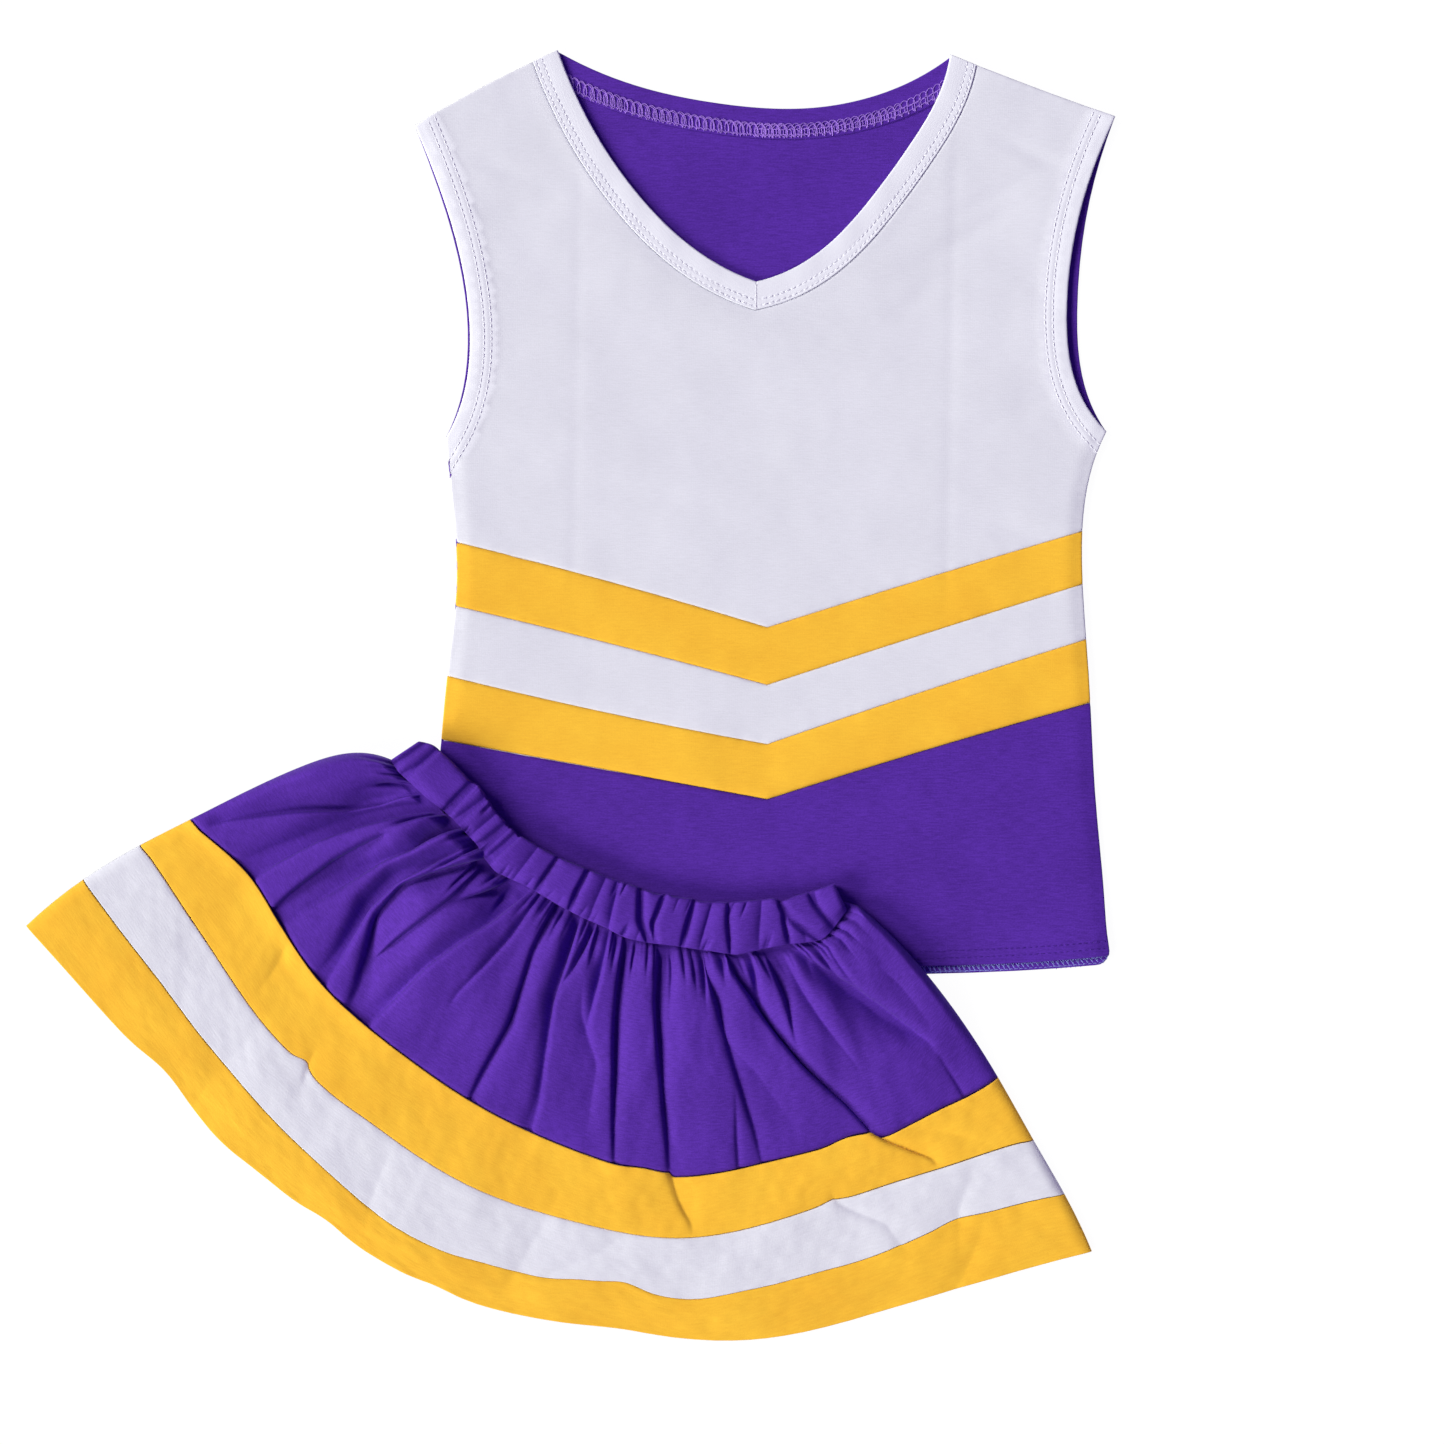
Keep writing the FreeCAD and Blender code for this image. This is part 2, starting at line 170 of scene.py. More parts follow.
def distance(points, line):
    """How far each plan point is from an open line."""
    start, along = line[:-1], np.diff(line, axis=0)
    square = np.maximum((along ** 2).sum(1), 1e-18)
    out = np.empty(len(points))
    for first in range(0, len(points), 2000):
        gap = points[first:first + 2000, None] - start
        at = np.clip((gap * along).sum(2) / square, 0, 1)
        gap = gap - at[..., None] * along
        out[first:first + 2000] = np.sqrt((gap ** 2).sum(2)).min(1)
    return out


def sides_of(loop, turn=32.0, reach=1.5 * MM, most=None):
    """The loop cut into open lines at its corners, each ending where the next starts."""
    fine = resample(closed(loop), int(length_of(closed(loop)) / DENSE))[:-1]
    ahead = max(2, int(reach / DENSE))
    before = fine - np.roll(fine, ahead, axis=0)
    after = np.roll(fine, -ahead, axis=0) - fine
    cross = before[:, 0] * after[:, 1] - before[:, 1] * after[:, 0]
    angle = np.degrees(np.abs(np.arctan2(cross, (before * after).sum(1))))
    found = []
    for at in np.argsort(-angle):
        if angle[at] < turn or (most and len(found) == most):
            break
        apart = [min(abs(at - f), len(fine) - abs(at - f)) for f in found]
        if all(gap > 2 * ahead for gap in apart):
            found.append(int(at))
    found.sort()
    fine = np.roll(fine, -found[0], axis=0)
    cuts = [f - found[0] for f in found] + [len(fine)]
    fine = closed(fine)
    return [fine[a:b + 1] for a, b in zip(cuts, cuts[1:])]


def runs(loop, neighbours, tolerance=0.2 * MM):
    """The loop cut where it starts or stops running along a neighbour's outline.

    Returns (index of the neighbour or -1, open line) counter-clockwise.
    """
    fine = resample(closed(loop), int(length_of(closed(loop)) / DENSE))[:-1]
    label = np.full(len(fine), -1)
    for number, neighbour in enumerate(neighbours):
        label[distance(fine, closed(neighbour)) < tolerance] = number
    change = np.flatnonzero(label != np.roll(label, 1))
    pieces = []
    for a, b in zip(change, list(change[1:]) + [change[0] + len(fine)]):
        at = np.arange(a, b + 1) % len(fine)
        pieces.append((int(label[a]), fine[at]))
    return [p for p in pieces if length_of(p[1]) > 4 * MM]


def edge_by(node, strip, side=1):
    """The side of a panel node's outline that a strip node runs along."""
    marks = outlines(strip)[0]
    lines = [s for s in sides_of(outlines(node, side)[0]) if length_of(s) > 20 * MM]
    return min(lines, key=lambda line: distance(marks, line).mean())


def ribbon(loop, count=400):
    """The two long edges of a narrow strip, both running towards +X (or +Y)."""
    fine = resample(closed(loop), 900)[:-1]
    far = np.linalg.norm(fine[:, None] - fine[None], axis=2)
    a, b = sorted(divmod(int(far.argmax()), len(fine)))
    one, two = fine[a:b + 1], np.roll(fine, -b, axis=0)[:len(fine) - b + a + 1][::-1]
    spread = np.ptp(fine, axis=0)
    axis = 0 if spread[0] > spread[1] * 0.8 else 1
    edges = [resample(e if e[-1, axis] > e[0, axis] else e[::-1], count) for e in (one, two)]
    return sorted(edges, key=lambda e: -e[len(e) // 2, 1 - axis])


def centre_line(loop, count=400):
    """The line halfway between a narrow strip's long edges."""
    upper, lower = ribbon(loop, count)
    return (upper + lower) / 2


# ---------------------------------------------------------------------------
# Numbers that vary over the cloth


def smooth(x):
    """A soft step from 0 at 0 to 1 at 1."""
    x = np.clip(x, 0, 1)
    return x * x * (3 - 2 * x)


# Values along each side of a noise table, after which the noise repeats.
NOISE_SIZE = 61


def noise(x, y, size, seed):
    """Smooth noise from -1 to 1 whose features are about size metres wide."""
    table = np.random.default_rng(seed).uniform(-1, 1, (NOISE_SIZE, NOISE_SIZE))
    gx, gy = np.asarray(x) / size, np.asarray(y) / size
    ix, iy = np.floor(gx).astype(int), np.floor(gy).astype(int)
    fx, fy = gx - ix, gy - iy
    fx = fx ** 3 * (fx * (6 * fx - 15) + 10)
    fy = fy ** 3 * (fy * (6 * fy - 15) + 10)
    left, right = ix % NOISE_SIZE, (ix + 1) % NOISE_SIZE
    near, far = iy % NOISE_SIZE, (iy + 1) % NOISE_SIZE
    low = table[left, near] * (1 - fx) + table[right, near] * fx
    high = table[left, far] * (1 - fx) + table[right, far] * fx
    return low * (1 - fy) + high * fy


# ---------------------------------------------------------------------------
# Materials

# How much of the way to its palest the cloth goes where it has a second ply.
PLY_SHARE = 0.9
# How strongly the streaks, the heather and the patches change the colour.
STREAK_GAIN = 14
HEATHER_GAIN = 12
PATCH_GAIN = 20
# How far the darkest and palest colours lie from the cloth's own, for a dark of 1.
COLOUR_RANGE = 0.30
# Wales to the metre, as the wave texture counts them.
WALE_SCALE = 330.0


def put(node, **values):
    """Sets numbers and colours on a node's own inputs; _ stands for a space."""
    for name, value in values.items():
        node.inputs[name.replace("_", " ")].default_value = value


def jersey(name, colour, streak=0.10, mottle=0.05, dark=0.55, sheen=0.25, rough=0.82):
    """Cotton jersey: crosswise slub streaks, heather, mottling and a fine knit bump.

    The "weave" attribute holds the cloth's own coordinates in metres, x crosswise, and
    "ply" is 1 where a second ply under the cloth keeps the dark back from showing through.
    """
    material = bpy.data.materials.new(name)
    material.use_nodes = True
    nodes, links = material.node_tree.nodes, material.node_tree.links
    shader = nodes["Principled BSDF"]
    weave = nodes.new("ShaderNodeAttribute")
    weave.attribute_name = "weave"

    def texture(scale, detail):
        """Noise stretched over the weave."""
        mapping = nodes.new("ShaderNodeMapping")
        put(mapping, Scale=scale)
        grain = nodes.new("ShaderNodeTexNoise")
        put(grain, Scale=1.0, Detail=detail, Roughness=0.55)
        links.new(weave.outputs["Vector"], mapping.inputs["Vector"])
        links.new(mapping.outputs["Vector"], grain.inputs["Vector"])
        return grain.outputs["Fac"]

    def maths(operation, a, b):
        """A Math node's output; a and b are numbers or sockets."""
        node = nodes.new("ShaderNodeMath")
        node.operation = operation
        for socket, value in zip(node.inputs, (a, b)):
            if isinstance(value, float):
                socket.default_value = value
            else:
                links.new(value, socket)
        return node.outputs[0]

    streaks = texture((170.0, 1350.0, 60.0), 3.0)
    heather = texture((1100.0, 1700.0, 900.0), 2.0)
    patches = texture((26.0, 34.0, 20.0), 3.0)
    ply = nodes.new("ShaderNodeAttribute")
    ply.attribute_name = "ply"
    share = maths("ADD", maths("MULTIPLY", streaks, streak * STREAK_GAIN),
                  maths("MULTIPLY", heather, streak * HEATHER_GAIN))
    share = maths("ADD", share, maths("MULTIPLY", patches, mottle * PATCH_GAIN))
    middle = streak * (STREAK_GAIN + HEATHER_GAIN) / 2 + mottle * PATCH_GAIN / 2
    share = maths("SUBTRACT", share, middle - 0.5)
    share = maths("ADD", share, maths("MULTIPLY", ply.outputs["Fac"], PLY_SHARE))
    mix = nodes.new("ShaderNodeMix")
    mix.data_type = "RGBA"
    deep = [c * (1 - COLOUR_RANGE * dark) for c in colour]
    pale = [min(1.0, c * (1 + COLOUR_RANGE * dark) + 0.004) for c in colour]
    put(mix, A=(*deep, 1), B=(*pale, 1))
    links.new(share, mix.inputs["Factor"])
    links.new(mix.outputs["Result"], shader.inputs["Base Color"])

    wale = nodes.new("ShaderNodeTexWave")
    wale.bands_direction = "X"
    put(wale, Scale=WALE_SCALE, Distortion=1.2)
    links.new(weave.outputs["Vector"], wale.inputs["Vector"])
    height = maths("ADD", maths("MULTIPLY", wale.outputs["Fac"], 0.08), streaks)
    height = maths("ADD", height, maths("MULTIPLY", heather, 0.7))
    bump = nodes.new("ShaderNodeBump")
    put(bump, Strength=0.35, Distance=0.00022)
    links.new(height, bump.inputs["Height"])
    links.new(bump.outputs["Normal"], shader.inputs["Normal"])
    put(shader, Roughness=rough, Sheen_Weight=sheen, Sheen_Roughness=0.45,
        Sheen_Tint=(*[min(1, 0.4 + c) for c in colour], 1), Specular_IOR_Level=0.18)
    return material


def thread(name, colour, dark=0.9):
    """Spun thread: the cloth's own streaks, smoother and with more contrast."""
    return jersey(name, colour, streak=0.16, mottle=0.06, dark=dark, sheen=0.2, rough=0.6)


white_jersey = jersey("white_jersey", WHITE, streak=0.055, mottle=0.03, dark=0.28)
gold_jersey = jersey("gold_jersey", GOLD, streak=0.08, mottle=0.07, dark=0.38)
purple_jersey = jersey("purple_jersey", PURPLE, streak=0.15, mottle=0.05, dark=0.66, sheen=0.08)
white_thread = thread("white_thread", THREAD_WHITE, 0.5)
lilac_thread = thread("lilac_thread", LILAC)
seam_thread = thread("seam_thread", PURPLE)
blue_thread = thread("blue_thread", THREAD_BLUE)
elastic_rib = thread("elastic_rib", ELASTIC, 0.5)


# ---------------------------------------------------------------------------
# Meshes

# How far the weave of a cloth's underside lies from its face's, so that they differ.
UNDERSIDE = (0, 0, 0.01)


def piece(name, verts, faces, weave, material, body, slot, stands_for=(), ply=0.0):
    """One smooth-shaded object that rides on a body and stands for CAD nodes."""
    mesh = bpy.data.meshes.new(name)
    mesh.from_pydata([tuple(v) for v in verts], [], [tuple(f) for f in faces])
    mesh.validate()
    mesh.shade_smooth()
    attribute = mesh.attributes.new("weave", "FLOAT_VECTOR", "POINT")
    attribute.data.foreach_set("vector", np.asarray(weave, np.float32).ravel())
    doubled = mesh.attributes.new("ply", "FLOAT", "POINT")
    doubled.data.foreach_set("value", np.broadcast_to(np.float32(ply), len(verts)))
    mesh.materials.append(material)
    obj = bpy.data.objects.new(name, mesh)
    bpy.context.scene.collection.objects.link(obj)
    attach(obj, body)
    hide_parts(*stands_for)
    return obj


# How wide the rounded rim of a cloth is: the front's, the back's and the skirt's.
ROUNDING = 0.6 * MM
BACK_ROUNDING = 0.25 * MM
SKIRT_ROUNDING = 0.3 * MM


def shell(plan, faces, rim, mid, thick, inside, rounding=ROUNDING):
    """A closed sheet round mid heights, whose two faces share the rim's points."""
    half = thick / 2 * np.sqrt(1 - (1 - np.clip(inside / rounding, 0, 1)) ** 2)
    half[rim] = 0
    keep = np.ones(len(plan), bool)
    keep[rim] = False
    under = np.arange(len(plan))
    under[keep] = len(plan) + np.arange(keep.sum())
    verts = np.vstack([np.column_stack([plan, mid + half]),
                       np.column_stack([plan, mid - half])[keep]])
    low = [tuple(under[list(f)][::-1]) for f in faces]
    return verts, [tuple(f) for f in faces] + low, keep


def ring(loop, step):
    """A closed loop resampled between its corners."""
    parts = []
    for side in sides_of(loop, turn=20.0):
        count = max(2, int(round(length_of(side) / step)) + 1)
        parts.append(resample(side, count)[:-1])
    return np.concatenate(parts)


def inset(points, gap):
    """A closed counter-clockwise loop moved inwards."""
    ahead = unit(np.roll(points, -1, axis=0) - points)
    normal = np.stack([-ahead[:, 1], ahead[:, 0]], 1)
    both = unit(normal + np.roll(normal, 1, axis=0))
    stretch = 1 / np.maximum((both * normal).sum(1), 0.6)
    return points + both * (gap * stretch)[:, None]


def inside_loop(points, loop):
    """Which plan points lie inside a closed loop."""
    result = np.zeros(len(points), bool)
    x, y = points.T
    for (x1, y1), (x2, y2) in zip(loop, np.roll(loop, -1, axis=0)):
        crosses = (y1 > y) != (y2 > y)
        if crosses.any():
            at = x1 + (y - y1) * (x2 - x1) / (y2 - y1)
            result ^= crosses & (x < at)
    return result


# Distances in from an edge at which a cloth has rings of points.
RINGS = (0.2 * MM, 0.6 * MM, 1.5 * MM)
# How far each side of a stitch row the cloth has a row of points.
ROW_WIDTH = 0.9 * MM


def triangulated(loop, step, rows=()):
    """Plan points and triangles inside a loop, finer along its edge and along rows."""
    edge = ring(loop, min(step, 2.0 * MM))
    groups = [edge] + [inset(edge, gap) for gap in RINGS]
    depth = [np.full(len(edge), gap) for gap in (0.0,) + RINGS]
    bands = [row for line in rows for row in beside(line)]
    edge_line = closed(edge)
    fixed = []
    for row in bands:
        clear = inside_loop(row, edge) & (distance(row, edge_line) > RINGS[-1] + 0.4 * MM)
        fixed.append(row[clear])
    low, high = edge.min(0), edge.max(0)
    xs = np.arange(low[0], high[0], step)
    ys = np.arange(low[1], high[1], step * 0.866)
    grid_x, grid_y = np.meshgrid(xs, ys)
    grid_x = grid_x + (np.arange(len(ys)) % 2)[:, None] * step / 2
    inner = np.stack([grid_x.ravel(), grid_y.ravel()], 1)
    inner = inner[inside_loop(inner, edge)]
    inner = inner[distance(inner, edge_line) > RINGS[-1] + step * 0.5]
    for line in rows:
        inner = inner[distance(inner, line) > ROW_WIDTH + step * 0.4]
    extra = np.vstack(fixed + [inner]) if fixed else inner
    points = np.vstack(groups + [extra])
    inside = np.concatenate(depth + [distance(extra, edge_line)])
    around = [(i, (i + 1) % len(edge)) for i in range(len(edge))]
    out, _, faces, source, _, _ = geometry.delaunay_2d_cdt(
        [Vector(p) for p in points], around, [], 1, 1e-9)
    origin = np.array([ids[0] for ids in source])
    plan = np.array([tuple(v) for v in out])
    flat = np.array([f for f in faces if len(f) == 3])
    a, b, c = plan[flat[:, 0]], plan[flat[:, 1]], plan[flat[:, 2]]
    area = (b[:, 0] - a[:, 0]) * (c[:, 1] - a[:, 1]) - (b[:, 1] - a[:, 1]) * (c[:, 0] - a[:, 0])
    flat[area < 0] = flat[area < 0][:, ::-1]
    rim = np.flatnonzero(origin < len(edge))
    return plan, flat, rim, inside[origin]


def beside(line):
    """A stitch line's own points and one row on each side of it, two to a stitch."""
    count = max(4, int(length_of(line) / (STITCH_PITCH / 2)) + 1)
    points = resample(line, count)
    ahead = unit(np.gradient(points, axis=0))
    normal = np.stack([-ahead[:, 1], ahead[:, 0]], 1)
    return [points, points + normal * ROW_WIDTH, points - normal * ROW_WIDTH]


def panel(name, loop, height, material, slot, stands_for, thick=CLOTH, step=2.8 * MM,
          rows=(), body=TOP, doubled=None, rounding=ROUNDING):
    """A flat cloth cut to a loop; height(plan, inside) gives its middle's height.

    doubled(plan) is 1 where a turned hem lies behind the cloth.
    """
    plan, faces, rim, inside = triangulated(loop, step, rows)
    mid = height(plan, inside)
    verts, all_faces, keep = shell(plan, faces, rim, mid, thick, inside, rounding)
    weave = np.column_stack([plan, np.zeros(len(plan))])
    weave = np.vstack([weave, weave[keep] + UNDERSIDE])
    ply = doubled(plan) if doubled else np.zeros(len(plan))
    return piece(name, verts, all_faces, weave, material, body, slot, stands_for,
                 np.concatenate([ply, ply[keep]]))


def grid_faces(rows, columns):
    """The quads of a grid of points, and the points along its rim."""
    at = np.arange(rows * columns).reshape(rows, columns)
    quads = np.stack([at[:-1, :-1], at[1:, :-1], at[1:, 1:], at[:-1, 1:]], -1)
    rim = np.concatenate([at[0], at[-1], at[:, 0], at[:, -1]])
    return quads.reshape(-1, 4), np.unique(rim)


def hoops(at):
    """The quads between closed rings of points, which are the rows of at."""
    quads = np.stack([at[:-1], at[1:], np.roll(at[1:], -1, 1), np.roll(at[:-1], -1, 1)], -1)
    return quads.reshape(-1, 4)


# Points round a thread.
THREAD_SIDES = 6
# How far apart in the weave a thread's sides lie, and one thread's start from the next's.
SIDE_WEAVE = 0.4 * MM
NEXT_WEAVE = 13.7 * MM


def tube(points, radius):
    """The ring points and faces of a thread along 3-D points, closed at both ends."""
    ahead = unit(np.gradient(points, axis=0))
    across = unit(np.stack([ahead[:, 1], -ahead[:, 0], np.zeros(len(ahead))], 1))
    up = np.cross(across, ahead)
    turn = np.arange(THREAD_SIDES) * 2 * math.pi / THREAD_SIDES
    circle = (across[:, None] * np.cos(turn)[None, :, None]
              + up[:, None] * np.sin(turn)[None, :, None])
    verts = (points[:, None] + circle * radius).reshape(-1, 3)
    at = np.arange(len(verts)).reshape(-1, THREAD_SIDES)
    faces = hoops(at)[:, [0, 3, 2, 1]].tolist()
    return verts, faces + [at[0][::-1].tolist(), at[-1].tolist()]


def threads(name, node, paths, radius, material, slot):
    """Many thread runs of the top as one object; each keeps its own length coordinate."""
    verts, faces, weave, first = [], [], [], 0
    for number, path in enumerate(paths):
        v, f = tube(path, radius)
        at = np.concatenate([[0], np.cumsum(np.linalg.norm(np.diff(path, axis=0), axis=1))])
        verts.append(v)
        faces += [tuple(i + first for i in face) for face in f]
        weave.append(np.column_stack([np.tile(np.arange(THREAD_SIDES) * SIDE_WEAVE, len(path)),
                                      np.repeat(at, THREAD_SIDES) + number * NEXT_WEAVE,
                                      np.full(len(v), 0.02 * number)]))
        first += len(v)
    piece(name, np.vstack(verts), faces, np.vstack(weave), material, TOP, slot, [node])


# How much of its pitch a stitch shows, and how it arches out of the cloth.
STITCH_SHARE = 0.78
STITCH_ARCH = np.array([-0.22, 0.06, 0.15, 0.17, 0.15, 0.06, -0.22]) * MM


def dashes(line, lift, start=0.0):
    """Straight stitches along a plan line, as short arched 3-D runs above lift(plan)."""
    total = length_of(line)
    shares = np.linspace(0, 1, len(STITCH_ARCH))
    paths = []
    for number in range(int((total - start) / STITCH_PITCH)):
        at = (start + (number + shares * STITCH_SHARE) * STITCH_PITCH) / total
        plan = place_on(line, at)
        paths.append(np.column_stack([plan, lift(plan) + STITCH_ARCH]))
    return paths


# ---------------------------------------------------------------------------
# The top's relief

HANDS = ("left", "right")
front_edge = {h: edge_by("front_yoke", "armhole_stitch_front_" + h) for h in HANDS}
hem_edge = edge_by("front_lower_panel", "hem_stitch_front")
side_line = {h: edge_by("back_panel", "side_seam_" + h, -1) for h in HANDS}
back_hem_edge = edge_by("back_panel", "hem_loops_back", -1)
back_armhole = min((edge_by("back_panel", "armhole_stitch_back_" + h, -1)
                    for h in HANDS), key=lambda line: line[0, 0])


def rows_of(node):
    """The middle line of each stitch row in a node."""
    return [centre_line(loop) for loop in outlines(node)]


armhole_rows = {h: rows_of("armhole_stitch_front_" + h) for h in HANDS}
neck_rows = {h: [downwards(row) for row in rows_of("neck_topstitch_" + h)] for h in HANDS}
hem_rows = rows_of("hem_stitch_front")

shoulder_low, shoulder_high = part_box("front_yoke")
top_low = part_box("front_lower_panel")[0]
TOP_MIDDLE = (shoulder_low.x + shoulder_high.x) / 2
# Widths of the turned hems.
ARMHOLE_TURN = 10.5 * MM
HEM_TURN = 8.0 * MM
# How far the front sinks at its sides.
SIDE_DIP = 0.75 * MM
# How far the back's edge curls up in the armhole at -X.
CURL = 0.7 * MM

CHEVRON = ("front_yoke", "chevron_upper_gold", "chevron_middle_white", "chevron_lower_gold",
           "front_lower_panel")
chevron_seams = [line for above, below in zip(CHEVRON, CHEVRON[1:])
                 for label, line in runs(outlines(below)[0], [outlines(above)[0]]) if label == 0]
# How far the cloth sinks into each of those seams, and over what distance.
SEAM_DIPS = (0.34 * MM, 0.34 * MM, 0.34 * MM, 0.90 * MM)
SEAM_DIP_REACH = 0.55 * MM
neckband_loops = [outlines("neckband_" + h)[0] for h in HANDS]
neck_seams = [line for label, line in runs(outlines("front_yoke")[0], neckband_loops)
              if label >= 0]
# How far the yoke sinks at the neckband, and how wide the calm cloth beside it is.
NECK_DIP = 0.10 * MM
NECK_CALM = 7 * MM
skirt_cover = outlines("skirt_body_back", -1)[0]


def under_skirt(plan):
    """1 where the skirt lies on the top, fading to 0 around it."""
    gap = distance(plan, closed(skirt_cover))
    gap[inside_loop(plan, skirt_cover)] = 0
    return 1 - smooth(gap / (18 * MM))


def fold_line(x, y, x0, lean, depth, width):
    """A pressed-in crease that runs along Y."""
    off = (x - x0 - lean * (y - shoulder_low.y)) / width
    return -depth * np.exp(-np.abs(off) ** 1.3)


# Soft folds of the yoke: middle across and up from its lowest corner, turn in degrees,
# half length, half width and depth.
YOKE_FOLDS = (
    (92, 178, 32, 26, 4.5, 0.55), (104, 196, 28, 22, 3.5, 0.45), (120, 215, -25, 14, 3.0, 0.5),
    (70, 150, 40, 22, 5.0, 0.35), (-112, 190, 8, 18, 4.0, 0.45), (-120, 208, -20, 14, 3.5, 0.35),
    (-100, 118, 12, 26, 5.0, 0.30), (110, 96, 20, 26, 5.0, 0.30), (-60, 60, -8, 30, 6.0, 0.25),
    (36, 72, 10, 34, 6.0, 0.25), (112, 44, -14, 24, 4.5, 0.30), (-118, 30, 14, 22, 4.0, 0.30),
)


def front_relief(plan, inside):
    """How far the front panels rise or sink, besides their own level."""
    x, y = plan.T
    broad = 0.42 * noise(x, y, 62 * MM, 3) + 0.24 * noise(x, y, 27 * MM, 4)
    small = 0.07 * noise(x, y, 9 * MM, 5)
    rise = (broad + small) * MM
    pucker = noise(x * 1.7, y * 0.8, 5.5 * MM, 6) * np.exp(-inside / (3.5 * MM))
    rise = rise + 0.11 * MM * pucker
    yoke = smooth((y - shoulder_low.y) / (30 * MM))
    rise += fold_line(x, y, TOP_MIDDLE - 87 * MM, 0.015, 0.16 * MM, 1.6 * MM) * yoke
    rise += fold_line(x, y, TOP_MIDDLE + 82 * MM, 0.02, 0.20 * MM, 1.8 * MM) * yoke
    for h in HANDS:
        gap = distance(plan, front_edge[h])
        rise += 0.34 * MM * (1 - smooth((gap - ARMHOLE_TURN) / (1.1 * MM)))
        for row in armhole_rows[h]:
            rise -= 0.20 * MM * np.exp(-(distance(plan, row) / (0.5 * MM)) ** 2)
        rise -= SIDE_DIP * (1 - smooth(distance(plan, side_line[h]) / (7 * MM)))
    gap = distance(plan, hem_edge)
    rise += 0.25 * MM * (1 - smooth((gap - HEM_TURN) / (1.6 * MM)))
    rise -= 0.45 * MM * np.exp(-((gap - 3.4 * MM) / (1.1 * MM)) ** 2)
    rise = rise * (1 - 0.6 * under_skirt(plan))
    for seam, dip in zip(chevron_seams, SEAM_DIPS):
        rise -= dip * np.exp(-distance(plan, seam) / SEAM_DIP_REACH)
    neck_gap = np.minimum.reduce([distance(plan, seam) for seam in neck_seams])
    rise = rise * smooth(neck_gap / NECK_CALM) - NECK_DIP * np.exp(-neck_gap / SEAM_DIP_REACH)
    for x_at, y_at, turn, long, wide, deep in YOKE_FOLDS:
        way = math.radians(turn)
        off_x, off_y = x - TOP_MIDDLE - x_at * MM, y - shoulder_low.y - y_at * MM
        along = off_x * math.cos(way) + off_y * math.sin(way)
        off = off_y * math.cos(way) - off_x * math.sin(way)
        rise -= deep * MM * np.exp(-(along / (long * MM)) ** 2 - (off / (wide * MM)) ** 2)
    return rise


def turned_hem(plan):
    """1 over the turned hems of the front's armholes."""
    gap = np.minimum(distance(plan, front_edge["left"]), distance(plan, front_edge["right"]))
    return 1 - smooth((gap - ARMHOLE_TURN) / (0.8 * MM))


def front_height(plan, inside):
    """The middle height of the front's cloth."""
    return FRONT_MID + front_relief(plan, inside)


def back_height(plan, inside):
    """The middle height of the back's cloth, which is the same near its edge."""
    x, y = plan.T
    rise = (0.16 * noise(x, y, 45 * MM, 13) + 0.08 * noise(x, y, 14 * MM, 14)) * MM
    gap = distance(plan, back_hem_edge)
    rise += 0.3 * MM * (1 - smooth((gap - HEM_TURN) / (1.0 * MM)))
    rise += CURL * np.clip(1 - distance(plan, back_armhole) / (3.5 * MM), 0, 1)
    for h in HANDS:
        rise += 0.55 * MM * (1 - smooth(distance(plan, side_line[h]) / (6 * MM)))
    return BACK_MID + 0.1 * MM + rise


def level(at, under=None):
    """The height function of a plain layer, over whatever under(plan) lifts it by."""
    return lambda plan, inside=None: np.full(len(plan), at) + (under(plan) if under else 0)


# ---------------------------------------------------------------------------
# The top

FRONT_PANELS = (
    ("front_yoke", white_jersey, "white_jersey"),
    ("chevron_upper_gold", gold_jersey, "gold_jersey"),
    ("chevron_middle_white", white_jersey, "white_jersey"),
    ("chevron_lower_gold", gold_jersey, "gold_jersey"),
    ("front_lower_panel", purple_jersey, "purple_jersey"),
)
# The stitch rows that each panel is made finer along.
PANEL_ROWS = {
    "front_yoke": armhole_rows["left"] + armhole_rows["right"],
    "front_lower_panel": hem_rows,
}
# The least share of its box that a cut may fill.
LEAST_SHARE = 0.31


def plan_area(loop):
    """The area inside a closed loop."""
    x, y = loop.T
    return abs(float((x * np.roll(y, -1) - y * np.roll(x, -1)).sum()) / 2)


def lay_sheet(loop):
    """Works out the width and length of a flat piece cut to the loop, its length shortened where
    the cut fills less than LEAST_SHARE of its box; the result is not kept.
    """
    width, length = [float(spread) for spread in np.ptp(loop, axis=0)]
    area = plan_area(loop)
    share = area / (width * length)
    if share < LEAST_SHARE:
        length = length * share / LEAST_SHARE


for node, material, slot in FRONT_PANELS:
    loop = outlines(node)[0]
    doubled = turned_hem if node == "front_yoke" else None
    made = panel(node + "_cloth", loop, front_height, material, slot, [node],
                 rows=PANEL_ROWS.get(node, ()), doubled=doubled)
    lay_sheet(loop)

back_loop = outlines("back_panel", -1)[0]
back_piece = panel("back_panel_cloth", back_loop, back_height, purple_jersey, "purple_jersey",
                   ["back_panel"], step=3.4 * MM, rounding=BACK_ROUNDING)
lay_sheet(back_loop)

# Seam allowances between the layers, none above the underside of the front.
STRIP_TOP = 2.3 * MM
for node in ("yoke_seam_overlock", "upper_gold_seam_overlock", "middle_white_seam_overlock",
             "lower_gold_seam_overlock", "side_seam_left", "side_seam_right",
             "shoulder_seam_left", "shoulder_seam_right"):
    low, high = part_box(node)
    panel(node + "_strip", outlines(node)[0], level(min((low.z + high.z) / 2, STRIP_TOP)),
          white_thread, "white_thread", [node], thick=0.45 * MM, step=3.0 * MM)


# Neckband: each arm is one strip folded double, its fold on the neck's edge and its two
# raw edges inside the seam with the yoke.
PLY = 0.62 * MM
# The length round a neckband arm's section, in the weave.
BAND_GIRTH = 28 * MM
# The part of the band's width in which its face rounds down to the seam, and by how much.
BAND_EDGE = 0.02
BAND_EDGE_DROP = 0.22 * MM


